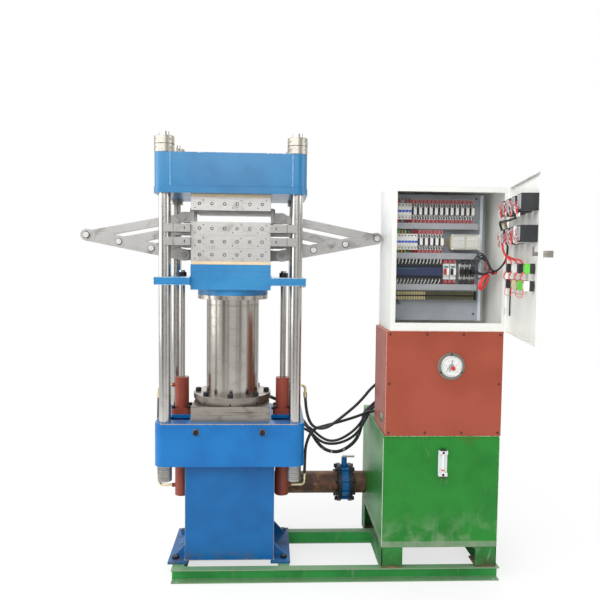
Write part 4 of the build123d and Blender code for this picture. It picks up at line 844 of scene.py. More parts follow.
# Finishes of this press
STEEL_ROD = GroundSteel("ground_column_steel", "#BDBBB7", "#7E796F", (10, 10, 500), 0.14, 0.12, 0.25, 0.06)
RAM_STEEL = GroundSteel("ground_ram_steel", "#B8B4AD", "#776D5C", (10, 10, 420), 0.16, 0.14, 0.3, 0.08)
TURNED = GroundSteel("turned_nut_steel", "#A8A49B", "#6A6154", (14, 14, 800), 0.26, 0.16, 0.4, 0.2)
GLAND = GroundSteel("turned_gland_steel", "#918B84", "#5A5248", (16, 16, 500), 0.3, 0.16, 0.5, 0.2)
PIN_STEEL = GroundSteel("bright_pin_steel", "#DAD8D4", "#8A857C", (30, 30, 300), 0.3, 0.12, 0.3, 0.1)
MILLED = GroundSteel("milled_platen_steel", "#B6B4B1", "#746F69", (16, 500, 240), 0.36, 0.2, 0.6, 0.2)
MILLED_DARK = GroundSteel("milled_guide_steel", "#A2A09D", "#65625C", (60, 60, 420), 0.36, 0.2, 0.5, 0.2)
BLOCK_STEEL = GroundSteel("ground_block_steel", "#99938B", "#544D45", (5, 5, 90), 0.34, 0.2, 0.6, 0.3, 0.75)
ARM_STEEL = GroundSteel("smeared_arm_steel", "#B0AEAC", "#66635E", (30, 300, 90), 0.3, 0.24, 0.75, 0.2)
BLACK_STEEL = DarkMetal("black_bolt_steel")
PRESS_BLUE = Enamel("press_blue_enamel", "#1A70AE", "#12629F", rough=0.3, peel=0.35)
CROWN_BLUE = Enamel("crown_blue_enamel", "#2373A3", "#1B6796", "#C6CDCB",
                    (((-383, -243, 1971), (383, 243, 2174), 9),), rough=0.2, peel=0.5, gloss=0.5)
# Paler blue with pale speckles on the crown's vertical weld beads: painted highlight.
BEAD_BLUE_HIGHLIGHT = Enamel("crown_bead_enamel", "#4C8FBE", "#C3D3DD", rough=0.16, peel=0.9, gloss=0.8)
BED_BLUE = Enamel("bed_blue_enamel", "#0E6EB2", "#0A61A4", "#B59C7C",
                  (((-382.5, -240, 560), (382.5, 240, 813), 11),), rough=0.3, peel=0.25, seed_turn=0.9)
# Lighter than the press blue: painted reflection on the table's paint. Its worn edges are real wear.
TABLE_BLUE_SHEEN = Enamel("table_blue_enamel", "#2F82B6", "#2274AA", "#B9C4C8",
                    (((-381, -235, 1516), (381, 235, 1556), 7),), rough=0.2, peel=0.8, seed_turn=0.6,
                    gloss=0.5)
PEDESTAL_BLUE = Enamel("pedestal_blue_enamel", "#0863A3", "#065792", "#8B8F8A",
                       (((-231, -185, 82), (231, 185, 640), 7),), low_dirt=0.16, rough=0.34, peel=0.25,
                       seed_turn=1.4)
TANK_GREEN = Enamel("tank_green_enamel", "#1F8029", "#187022", "#B9C3AC",
                    (((784, -264, 175), (1384, 441, 758), 5),), 0.22, 0.4, 0.34, 0.3, 0.5, 0.3, "#7C9A74",
                    ((176, 206),))
LEG_GREEN = Enamel("tank_leg_enamel", "#2A7D34", "#1F6A2A", "#A9A58E", (), 0.5, 0.17, 0.4, 0.3, 0.9, 0.3,
                   "#3E2E27")
SKID_GREEN = Enamel("skid_green_enamel", "#36A04C", "#2A8A3E", "#8A8A76",
                    (((-290, -274, 0), (1400, 218.5, 70), 7),), 0.5, 0, 0.4, 0.4, 1.1, 0.3, "#5A5646",
                    ((67, 73), (-4, 7)))
BRICK = Enamel("housing_brick_enamel", "#A04D3A", "#964532", "#D9A08C",
               (((791, -262, 758), (1389, 67, 1296), 4),), rough=0.42, peel=0.15, seed_turn=0.7)
JACK_RED = Enamel("jack_brick_enamel", "#924636", "#80392B", "#C7846B", rough=0.36, peel=0.35)
CABINET = Enamel("cabinet_powder_coat", "#EAEBE6", "#E2E3DD", "#B9BAB2",
                 (((806, -259, 1296), (1391, 71, 2023), 2.5),), rough=0.38, peel=0.3, seed_turn=0.2)
DOOR_WHITE = Enamel("door_powder_coat", "#EDEEEA", "#E4E6E0", rough=0.38, peel=0.3, seed_turn=0.5)
PLATE = Enamel("mounting_plate_zinc", "#A9AEB5", "#9AA0A8", rough=0.4, peel=0.1, seed_turn=1.2)
BOARD = Moulded("insulation_board", "#DCC6A4", "#C4A980", 0.75, 420, 0.4, 0.7)
RUBBER = BraidedHose("hose_rubber", 0)
BRAID = BraidedHose("hose_rubber_flecked", 0.75)
BRASS = GroundSteel("plated_fitting", "#DCD0A8", "#A8946A", (40, 40, 300), 0.24, 0.14, 0.3, 0.12)
PIPE = Rust("rusty_pipe")
DARK_PLASTIC = Moulded("dark_plastic", "#26282B", "#3A3C40", 0.4)
GREY_PLASTIC = Moulded("grey_plastic", "#B9BDC1", "#A3A8AD", 0.45)
PALE_PLASTIC = Moulded("pale_plastic", "#DADCDB", "#C5C8C8", 0.42)
BEIGE_PLASTIC = Moulded("beige_plastic", "#CDBFA0", "#B9A98A", 0.45)
NAVY_PLASTIC = Moulded("navy_plastic", "#2A3556", "#202A46", 0.4)
BLUE_PLASTIC = Moulded("lever_blue", "#2F5FD0", "#254EB2", 0.35)
RED_PLASTIC = Moulded("signal_red", "#D02A26", "#B52020", 0.35)
SIGNAL_RED = Moulded("spare_cable_red", "#E23A38", "#CC2C2A", 0.35)
GREEN_PLASTIC = Moulded("signal_green", "#6FD04E", "#58B83C", 0.35)
YELLOW_PLASTIC = Moulded("signal_yellow", "#D9B83A", "#C2A22E", 0.35)
WHITE_PLASTIC = Moulded("white_plastic", "#F0F0EC", "#E0E0DA", 0.4)
ROSE_PLASTIC = Moulded("faded_red_sleeve", "#CF8E92", "#BC5F66", 0.45, 120, 0.1, 0.8)
TEAL_PLASTIC = Moulded("teal_sleeve", "#2C8A7C", "#1F6A60", 0.4)
OLIVE_PLASTIC = Moulded("olive_terminal", "#6E6A4E", "#4F4C38", 0.5)
BRASS_TERMINAL = Moulded("brass_terminal", "#E0D3A2", "#B39C5C", 0.35)
DUCT = Moulded("duct_grey", "#A3A6AA", "#8F9297", 0.5)
FOLD = Moulded("pale_folded_edge", "#D5DEE8", "#C4CFDB", 0.4)
DIAL = Moulded("dial_white", "#F4F4F1", "#E6E7E4", 0.4)
SCREW_RED = Moulded("painted_screw", "#56241B", "#3E1812", 0.4)
SCREEN = Moulded("display_black", "#0C0D10", "#17191D", 0.2)
DIGIT_RED = Moulded("display_red", "#E8402C", "#D0301F", 0.4)
SIGHT = Moulded("sight_tube", "#DDE6E2", "#BFD0C8", 0.15)
GLASS = Clear("clear_cover", "#F2F6F4", 0.16)
DIAL_INK = Moulded("dial_ink", "#15161A", "#24262B", 0.5)


@dataclass
class Studio:
    """The camera where the photograph was taken, a pale floor, dark cards and soft lamps.

    Attributes:
        position, yaw, pitch, roll: the camera's place in press millimetres and its turns in degrees.
        shadow_share, shadow_reach: strength of the floor's shadow, and where it fades, in metres.
        cards: name, X, Y and half width in metres of each card.
        lamps: name, place, size in metres and power in watts of each lamp.
        dim: strength of the world as light; it is 1 where it is seen.
    """

    position: tuple = (212.1, -3396.2, 1634.7)
    yaw: float = 2.52
    pitch: float = -3.40
    roll: float = 0.67
    focal_share: float = 628.9 / 600
    sensor: float = 36.0
    view_reach: float = 100.0
    floor_half: float = 30.0
    floor_grey: float = 0.93
    shadow_share: float = 0.3
    shadow_reach: tuple = (0.9, 2.6)
    matt: float = 0.9
    card_height: float = 3.2
    card_grey: float = 0.03
    cards: tuple = (
        ("left_card", -3.6, -4.1, 0.75), ("right_card", 2.4, -4.1, 0.5),
        ("near_left_card", -1.75, -3.9, 0.22), ("near_right_card", 1, -4.1, 0.16))
    lamps: tuple = (
        ("key", (-1.9, -3.6, 3.9), (5, 3), 150), ("left", (-4.2, -0.6, 2.4), (3, 3.4), 70),
        ("right", (4.6, -1.8, 2.6), (2.6, 3.4), 50), ("back", (0.4, 4.2, 3.4), (5, 2.6), 60))
    target: tuple = (0, 0, 1.1)
    dim: float = 0.75

    def build(self) -> None:
        """Set the camera, the floor, the cards, the lamps and the world."""
        self._camera()
        self._floor()
        self._cards()
        self._lamps()
        self._world()
        bpy.context.scene.view_settings.view_transform = "Standard"

    def _camera(self) -> None:
        """Aim the camera: forward from yaw and pitch, then level right, then both rolled."""
        yaw, pitch, roll = (math.radians(value) for value in (self.yaw, self.pitch, self.roll))
        forward = np.array([math.sin(yaw) * math.cos(pitch), math.cos(yaw) * math.cos(pitch),
                            math.sin(pitch)])
        right = np.array([math.cos(yaw), -math.sin(yaw), 0.0])
        up = np.cross(right, forward)
        rolled = math.cos(roll) * right + math.sin(roll) * up
        matrix = np.eye(4)
        matrix[:3] = np.stack([rolled, np.cross(rolled, forward), -forward, to_frame(self.position)], -1)
        lens = bpy.data.cameras.new("camera")
        lens.sensor_width = self.sensor
        lens.lens = self.sensor * self.focal_share
        lens.clip_end = self.view_reach
        camera = placed("camera", lens)
        camera.matrix_world = Matrix(matrix.tolist())
        bpy.context.scene.camera = camera

    def _stage_panel(self, name: str, corners: Sequence, graph: Graph) -> bpy.types.Object:
        """One flat face of the stage through four corners in metres."""
        mesh = bpy.data.meshes.new(name)
        mesh.from_pydata(corners, [], [tuple(range(len(corners)))])
        mesh.materials.append(graph.material)
        panel = placed(name, mesh)
        return panel

    def _floor(self) -> None:
        """A wide pale floor that shows white to the camera but keeps the object's shadow."""
        graph = Graph("floor_white")
        graph.set(base_color=(*[self.floor_grey] * 3, 1.0), roughness=self.matt, specular_ior_level=0.0)
        far = graph.node("ShaderNodeVectorMath", {"operation": "LENGTH"}, {0: graph.place()}, 1)
        near = (1 - far.ease(*self.shadow_reach)) * self.shadow_share
        camera_ray = graph.node("ShaderNodeLightPath", {}, {}, "Is Camera Ray")
        glow = graph.node("ShaderNodeEmission", {}, {"Color": WHITE_LIGHT, "Strength": 1.0})
        lit = Value(graph, graph.shader.outputs[0])
        mixed = graph.node("ShaderNodeMixShader", {}, {0: camera_ray * (1 - near), 1: lit, 2: glow})
        graph.end_with(mixed)
        half = self.floor_half
        self._stage_panel("floor", [(-half, -half, 0), (half, -half, 0), (half, half, 0), (-half, half, 0)],
                          graph)

    def _cards(self) -> None:
        """Dark cards beside the camera, outside its view, which put dark bands on round bright steel."""
        for name, x, y, half in self.cards:
            graph = Graph(name + "_cloth")
            graph.set(base_color=(*[self.card_grey] * 3, 1.0), roughness=self.matt)
            corners = [(x - half, y, 0), (x + half, y, 0), (x + half, y, self.card_height),
                       (x - half, y, self.card_height)]
            self._stage_panel(name, corners, graph).visible_camera = False

    def _lamps(self) -> None:
        """Four soft panels: a broad one above the front, one on each side and one behind."""
        for name, place, size, power in self.lamps:
            data = bpy.data.lights.new(name, "AREA")
            data.shape = "RECTANGLE"
            data.size, data.size_y = size
            data.energy = power
            lamp = placed(name, data)
            lamp.location = place
            lamp.rotation_mode = "QUATERNION"
            lamp.rotation_quaternion = (Vector(self.target) - Vector(place)).to_track_quat("-Z", "Y")

    def _world(self) -> None:
        """A pale world: plain white to the camera and in reflections, softer as light."""
        world = bpy.data.worlds.new("studio")
        bpy.context.scene.world = world
        world.use_nodes = True
        nodes = Nodes(world.node_tree, "ShaderNodeOutputWorld")
        seen, through, mirrored = (nodes.node("ShaderNodeLightPath", {}, {}, ray)
                                   for ray in ("Is Camera Ray", "Is Transmission Ray", "Is Glossy Ray"))
        strength = seen.greater(through).greater(mirrored) * (1 - self.dim) + self.dim
        nodes.end_with(nodes.node("ShaderNodeBackground", {}, {"Color": WHITE_LIGHT, "Strength": strength}))


@dataclass
class Hoses:
    """The five hydraulic hoses and the door's loom, each one smooth line through its route.

    Attributes:
        loom_bend: where the loom would start to follow the door, and where it would follow it wholly; not
            used.
        routes: node, diameter, length, finish and points in press millimetres.
    """

    bevel_resolution: int = 4
    line_resolution: int = 14
    loom: str = "door_loom"
    loom_bend: tuple = ((1346, -140, 1606), (1346, -387, 1606))
    routes: tuple = (
        ("hose_right_lower", 16, 699, RUBBER, (
            (397, 0, 478), (399, 4, 556), (402, 10, 636), (440, 38, 714), (519, 70, 726), (630, 105, 747),
            (713, 130, 767), (785, 158, 788), (868, 168, 792))),
        ("hose_right_upper", 16, 720, RUBBER, (
            (397, 0, 900), (404, -10, 761), (499, 14, 709), (614, 44, 787), (712, 90, 856), (800, 140, 950),
            (868, 180, 972))),
        ("hose_left_upper", 16, 1845, RUBBER, (
            (-397, 0, 900), (-400, 8, 800), (-412, 60, 720), (-418, 160, 690), (-396, 262, 682),
            (-310, 306, 680), (-190, 304, 674), (-60, 300, 678), (80, 302, 680), (210, 300, 676),
            (330, 300, 690), (430, 298, 668), (521, 290, 584), (593, 275, 575), (679, 250, 628),
            (745, 228, 705), (786, 214, 812), (868, 196, 872))),
        ("hose_left_lower", 16, 1847, RUBBER, (
            (-397, 0, 478), (-400, 8, 560), (-412, 60, 630), (-418, 160, 652), (-396, 270, 650),
            (-310, 322, 646), (-190, 326, 640), (-60, 322, 646), (80, 326, 642), (210, 322, 645),
            (330, 322, 660), (430, 318, 640), (506, 310, 563), (577, 295, 552), (652, 262, 580),
            (715, 222, 636), (764, 196, 735), (790, 180, 806), (868, 166, 850))),
        ("hose_main", 21, 1202, BRAID, (
            (110, 246, 853), (116, 320, 850), (165, 380, 838), (260, 398, 795), (350, 388, 735),
            (430, 370, 650), (509, 345, 518), (594, 315, 495), (661, 290, 526), (725, 272, 591),
            (750, 258, 690), (764, 246, 786), (868, 226, 840))),
        ("door_loom", 10, 452, RUBBER, (
            (1300, -58, 1678), (1345, -66, 1666), (1352, -120, 1632), (1346, -180, 1606),
            (1345, -240, 1600), (1346, -300, 1618), (1348, -362, 1650), (1348, -387, 1690),
            (1348, -387, 1733.6))))

    def build(self) -> None:
        """Make each hose and hide its CAD node."""
        for node, diameter, length, finish, points in self.routes:
            places = to_frame(points)
            curve = bpy.data.curves.new(node + "_line", "CURVE")
            curve.dimensions = "3D"
            curve.bevel_depth = diameter / 2 * MM
            curve.bevel_resolution = self.bevel_resolution
            curve.resolution_u = self.line_resolution
            curve.use_fill_caps = True
            spline = curve.splines.new("NURBS")
            spline.points.add(len(places) - 1)
            spline.points.foreach_set("co", np.hstack([places, np.ones((len(places), 1))]).ravel())
            spline.order_u = 3
            spline.use_endpoint_u = True
            spline.resolution_u = self.line_resolution
            curve.materials.append(material_of(finish))
            hose = placed(node + "_line", curve)
            path = None
            if node == self.loom:
                hose, path = self._bending(hose)
            else:
                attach(hose, Body.FRAME.value)
            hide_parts(node)
            LOG.info("%s: %d mm", node, length)

    def _bending(self, hose: bpy.types.Object) -> tuple[bpy.types.Object, list]:
        """Turn the loom's curve into a tube, and read the line that it follows.

        Args:
            hose: the curve object of the loom.

        Returns:
            The tube's object and the points of its centre line.
        """
        name, curve = hose.name, hose.data
        tube = bpy.data.meshes.new_from_object(hose)
        tube.shade_smooth()
        curve.bevel_depth = 0
        line = bpy.data.meshes.new_from_object(hose)
        path = [tuple(vertex.co) for vertex in line.vertices]
        bpy.data.objects.remove(hose)
        bent = placed(name, tube)
        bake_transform(bent)
        return bent, path


@dataclass
class Press:
    """Crown, columns, platens, table, ram, cylinder, bed and stand.

    Attributes:
        softened: node, body, slot, finish and bevel of each plain piece.
        platens: node, body and lowest Z of each platen.
        hanger_screws: Y range, X and reach in X of the bright screws among the bolts.
        ring, ring_heights: radius and width of a groove in the bottom nuts, and its steps in Z.
        guides: name, middle height and body of the two pairs of guides.
        crown_beads, seams, table_beads, stand_beads: rows as beads takes them.
    """

    softened: tuple = (
        ("crown", Body.FRAME, "press_blue", CROWN_BLUE, 3),
        ("press_bed", Body.FRAME, "press_blue", BED_BLUE, 3),
        ("moving_table", Body.TABLE, "press_blue", TABLE_BLUE_SHEEN, 2),
        ("press_pedestal", Body.FRAME, "press_blue", PEDESTAL_BLUE, 2),
        ("skid_frame", Body.FRAME, "tank_green", SKID_GREEN, 1.5),
        ("top_insulation", Body.FRAME, "insulation_board", BOARD, 1),
        ("lower_insulation", Body.TABLE, "insulation_board", BOARD, 1),
        ("upper_middle_guides", Body.UPPER_MIDDLE, "milled_steel", MILLED_DARK, 1),
        ("lower_middle_guides", Body.LOWER_MIDDLE, "milled_steel", MILLED_DARK, 1),
        ("gland_flange", Body.FRAME, "ground_steel", GLAND, 1.5),
        ("ram_head_flange", Body.TABLE, "ground_steel", RAM_STEEL, 1.5),
        ("main_cylinder", Body.FRAME, "milled_steel", BLOCK_STEEL, 1.5),
        ("lift_cylinders", Body.FRAME, "jack_red", JACK_RED, 1.2))
    platens: tuple = (
        ("top_platen", Body.FRAME, 1892), ("upper_middle_platen", Body.UPPER_MIDDLE, 1768.6),
        ("lower_middle_platen", Body.LOWER_MIDDLE, 1702.3), ("bottom_platen", Body.TABLE, 1636))
    platen_height: float = 66.0
    platen_half: float = 200.0
    platen_edge: float = 1.2
    nut_edge: float = 0.8
    bolt_edge: float = 1.0
    nut_top: float = 600.0
    rod_nut_low: float = 1556.2
    hanger_screws: tuple = (-243.2, -239.9, 168, 18)
    heaters: int = 6
    heater_pitch: float = 63.0
    heater_depth: float = 4.0
    tip: tuple = ((4.4, 0), (4.4, 3.4), (3.6, 4.2), (1.8, 4.3), (1.4, 3.4))
    # Black disc at the bottom of each heater's bore: painted shade in the recess round the tip.
    bore_shade: tuple = ((8, 0), (8, 0.9))
    # Shallow black discs on the platen's face: painted shade inside the small tapped holes.
    tapped_hole_shade: tuple = ((3, 0), (3, 0.3), (2.2, 0.35), (2, 0.1))
    tapped_by: tuple = (0, 3, 5)
    tapped_offsets: tuple = ((-22, -20), (20, 18))
    scribed: tuple = (1404, 1411)
    scribed_radius: float = 140.15
    scribed_width: float = 1.2
    column_x: float = 332.5
    column_y: float = 190.0
    ring: tuple = (35.6, 1.3)
    ring_heights: tuple = (520, 590, 10)
    guides: tuple = (("upper_middle", 1801.6, Body.UPPER_MIDDLE), ("lower_middle", 1735.3, Body.LOWER_MIDDLE))
    guide_face: float = -235.0
    guide_joint_x: float = 283.0
    guide_screw_x: float = 228.0
    joint_line: tuple = ((-1.1, 1.1), (-0.5, 0.2), (-20, 20), 0.1)
    screw_slot: tuple = ((-2.5, 2.5), (-0.6, 0.2), (-7, 7), 0.5)
    crown_beads: tuple = (
        ((-296, -239.5, 2008), (-296, -239.5, 2170), 4.5, "y"),
        ((309, -239.5, 2008), (309, -239.5, 2170), 4.5, "y"))
    seams: tuple = (((-330, -240.5, 2007), (330, -240.5, 2007), 3, "y"),)
    table_beads: tuple = (
        ((202, -200, 1557), (202, 200, 1557), 5, "x"), ((202, -200, 1515), (202, 200, 1515), 5, "x"),
        ((203, -202.5, 1517), (203, -202.5, 1555), 4, "xy"), ((-200, 202, 1587), (200, 202, 1587), 2, "y"))
    stand_beads: tuple = (
        ((-228, -186, 591), (228, -186, 591), 3.5, "y"), ((232, -147.5, 83), (297, -147.5, 83), 3.5, "xy"),
        ((232, -132.5, 83), (297, -132.5, 83), 3.5, "xy"), ((-228, -186, 83), (228, -186, 83), 3.5, "y"))

    def build(self) -> None:
        """Dress the press."""
        for row in self.softened:
            soften(*row)
        soften("column_nuts", Body.FRAME, "ground_steel", TURNED, self.nut_edge,
               [(lambda c: c[:, 2] < self.nut_top, MILLED_DARK)])
        soften("lift_rods", Body.TABLE, "chromed_rod", STEEL_ROD, self.nut_edge,
               [(lambda c: c[:, 2] > self.rod_nut_low, BLACK_STEEL)])
        soften("machine_bolts", Body.FRAME, "dark_steel", BLACK_STEEL, self.bolt_edge,
               [(self._are_hanger_screws, TURNED)])
        for node, body, low in self.platens:
            soften(node, body, "milled_steel", MILLED, self.platen_edge)
            self._heater_ends(low + self.platen_height / 2, node, body)
        line = lathe([(self.scribed_radius, 0), (self.scribed_radius, self.scribed_width)], 96)
        rings = line.repeated([(0, 0, z) for z in self.scribed])
        make_piece("ram_scribed_lines", [(rings, BLACK_STEEL)], Body.TABLE)
        dress("columns", STEEL_ROD)
        dress("ram", RAM_STEEL)
        # The crown's vertical beads take the paler blue, a painted highlight; the seam takes the crown's own
        # blue.
        for name, parts, body in (
                ("crown", [(self.crown_beads, BEAD_BLUE_HIGHLIGHT), (self.seams, CROWN_BLUE)], Body.FRAME),
                ("table", [(self.table_beads, TABLE_BLUE_SHEEN)], Body.TABLE),
                ("pedestal", [(self.stand_beads, PEDESTAL_BLUE)], Body.FRAME)):
            make_piece(name + "_weld_beads", [(beads(rows), finish) for rows, finish in parts], body)
        self._grooves()

    def _are_hanger_screws(self, centres: np.ndarray) -> np.ndarray:
        """Pick the faces of the bright screws by their centres."""
        low, high, place, reach = self.hanger_screws
        level = (centres[:, 1] > low) & (centres[:, 1] < high)
        return level & (np.abs(np.abs(centres[:, 0]) - place) < reach)

    def _heater_ends(self, middle: float, node: str, body: Body) -> None:
        """Bright heater ends, black discs at the bottom of their bores as painted shade in the recess, and
        shallow black discs as painted shade in the small tapped holes round them.
        """
        tip, bore_shade, hole_shade = (lathe(profile, steps).facing(FORWARD)
                           for profile, steps in ((self.tip, 16), (self.bore_shade, 20), (self.tapped_hole_shade, 12)))
        xs = (np.arange(self.heaters) - (self.heaters - 1) / 2) * self.heater_pitch
        places = [(x, self.heater_depth - self.platen_half, middle) for x in xs]
        spots = [(x + dx, -self.platen_half, middle + dz) for x in xs[list(self.tapped_by)]
                 for dx, dz in self.tapped_offsets]
        make_piece(node + "_heater_ends", [(tip.repeated(places), PIN_STEEL),
                                           (bore_shade.repeated(places), BLACK_STEEL),
                                           (hole_shade.repeated(spots), BLACK_STEEL)], body)

    def _grooves(self) -> None:
        """Dark lines: rings round the bottom nuts, and the joint and screw of each guide arm."""
        radius, width = self.ring
        places = [(x, y, z) for x in (-self.column_x, self.column_x) for y in (-self.column_y, self.column_y)
                  for z in np.arange(*self.ring_heights)]
        ring = lathe([(radius, 0), (radius, width)], 40).repeated(places)
        make_piece("bottom_nut_rings", [(ring, BLACK_STEEL)], Body.FRAME)
        for name, middle, body in self.guides:
            parts = []
            for shape, x in ((self.joint_line, self.guide_joint_x), (self.screw_slot, self.guide_screw_x)):
                spots = [(side * x, self.guide_face, middle) for side in (-1, 1)]
                parts.append((block(*shape).repeated(spots), BLACK_STEEL))
            make_piece(name + "_guide_joints", parts, body)


@dataclass
class Linkage:
    """Hangers, brackets, arms and links on both sides.

    Attributes:
        pivot: the lower arm's pivot X and Z, its length, and its tip's rise above the pivot.
    """

    pivot: tuple = (260, 1669, 519, 99.45)
    pin_shares: tuple = (1 / 3, 2 / 3, 1)
    # Black ring round each pin head of the lower arms: painted shade.
    shade_ring: tuple = (18, 1.2)
    shade_ring_y: float = 28.0
    head_y: float = 28.3
    plate_edge: float = 1.0
    arm_edge: float = 1.2

    def build(self) -> None:
        """Dress every bar of the linkage, and put a black ring under each pin head of the lower arms as
        painted shade round the head.
        """
        soften("linkage_hangers", Body.HANGERS, "milled_steel", MILLED_DARK, self.plate_edge)
        soften("lower_brackets", Body.TABLE, "milled_steel", MILLED_DARK, self.plate_edge)
        heads = [(lambda c: np.abs(c[:, 1]) > self.head_y, PIN_STEEL)]
        for kind in ("upper_arm", "lower_arm", "long_link", "short_link"):
            for side in ("right", "left"):
                soften(kind + "_" + side, Body(kind + "_" + side), "ground_steel", ARM_STEEL, self.arm_edge,
                       heads if kind == "lower_arm" else ())
        x, z, length, rise = self.pivot
        run = math.sqrt(length ** 2 - rise ** 2)
        radius, thickness = self.shade_ring
        shade_ring = lathe([(radius, 0), (radius, thickness)], 28)
        for side, name in ((1, "right"), (-1, "left")):
            shade_rings = [shade_ring.facing((0, turn, 0)).moved(side * (x + run * share), turn * self.shade_ring_y,
                                                      z + rise * share)
                    for share in self.pin_shares for turn in (-1, 1)]
            make_piece("lower_arm_rims_" + name, [(gathered(shade_rings), BLACK_STEEL)], Body("lower_arm_" + name))


@dataclass
class OilSystem:
    """Pipe, butterfly valve, motor, valve block and fittings.

    Attributes:
        flange_reach: how far from the valve's middle its flanges begin.
        fin, terminal_box, gland_place: about the motor's place.
        coil_z, plug_z, plug_out: heights above the block, and the connector's distance from it.
    """

    valve_x: float = 658.0
    flange_reach: float = 24.0
    motor_place: tuple = (1150, -95, 0)
    fins: int = 26
    fin: tuple = ((93, 105), (-1.6, 1.6), (890, 1166), 0.6)
    terminal_box: tuple = ((-125, -80), (-45, 45), (990, 1080), 4)
    gland: tuple = ((14, 0), (14, 10), (9, 12), (9, 22))
    gland_place: tuple = (-104, 0, 990)
    block_x: tuple = (920, 1110)
    block_y: tuple = (150, 240)
    block_z: tuple = (758, 950)
    block_edge: float = 2.0
    valves: int = 3
    valve_half: float = 24.0
    valve_height: float = 46.0
    coil: tuple = ((22, 0), (22, 46), (20, 48), (11, 48), (11, 57), (10, 58))
    plug: tuple = ((-13, 13), (-14, 14), (22, 46), 2)
    coil_z: float = 23.0
    plug_z: float = 18.0
    plug_out: float = 29.0
    screw: tuple = (5, 5, 2.6)
    screw_x: float = 16.0
    screw_in: float = 14.0

    def build(self) -> None:
        """Dress the oil system."""
        soften("prefill_pipe", Body.FRAME, "pipe_brown", PIPE, 0.8)
        soften("butterfly_valve", Body.FRAME, "press_blue", PRESS_BLUE, 1.5,
               [(lambda c: np.abs(c[:, 0] - self.valve_x) > self.flange_reach, BLACK_STEEL)])
        soften("valve_disc", Body.DISC, "ground_steel", TURNED, 1.0)
        dress("pump_motor", PRESS_BLUE)
        dress("motor_rotor", TURNED)
        dress("hose_fittings", BRASS)
        self._motor_fins()
        self._valve_block()

    def _motor_fins(self) -> None:
        """Cooling fins round the motor, and its terminal box with a cable gland."""
        fin = block(*self.fin)
        ring = gathered([fin.turned(Axis.Z, 360 * index / self.fins) for index in range(self.fins)])
        gland = lathe(self.gland, 16).facing(DOWN).moved(*self.gland_place)
        tray = Tray()
        tray.add(PRESS_BLUE, ring, block(*self.terminal_box))
        tray.add(DARK_PLASTIC, gland)
        make_piece("motor_fins", tray.moved(self.motor_place), Body.FRAME)

    def _valve_block(self) -> None:
        """The drilled block with three solenoid valves, their coils and connectors."""
        left, right = self.block_x
        front, back = self.block_y
        top = self.block_z[1]
        tray = Tray()
        tray.add(MILLED_DARK, block(self.block_x, self.block_y, self.block_z, self.block_edge))
        coil, plug = lathe(self.coil, 28), block(*self.plug)
        for share in (np.arange(self.valves) + 0.5) / self.valves:
            x = left + (right - left) * share
            tray.add(PRESS_BLUE, block((x - self.valve_half, x + self.valve_half), self.block_y,
                                       (top, top + self.valve_height), self.block_edge))
            tray.add(DARK_PLASTIC, coil.facing(FORWARD).moved(x, front, top + self.coil_z),
                     coil.facing(BACK).moved(x, back, top + self.coil_z))
            tray.add(GREY_PLASTIC, *[plug.moved(x, y, top + self.plug_z)
                                     for y in (front - self.plug_out, back + self.plug_out)])
            tray.add(BLACK_STEEL, hex_screw(*self.screw).repeated(
                [(x + dx, y, top + self.valve_height) for dx in (-self.screw_x, self.screw_x)
                 for y in (front + self.screw_in, back - self.screw_in)]))
        make_piece("valve_block_dressed", tray.parts, Body.FRAME, ["valve_manifold"])


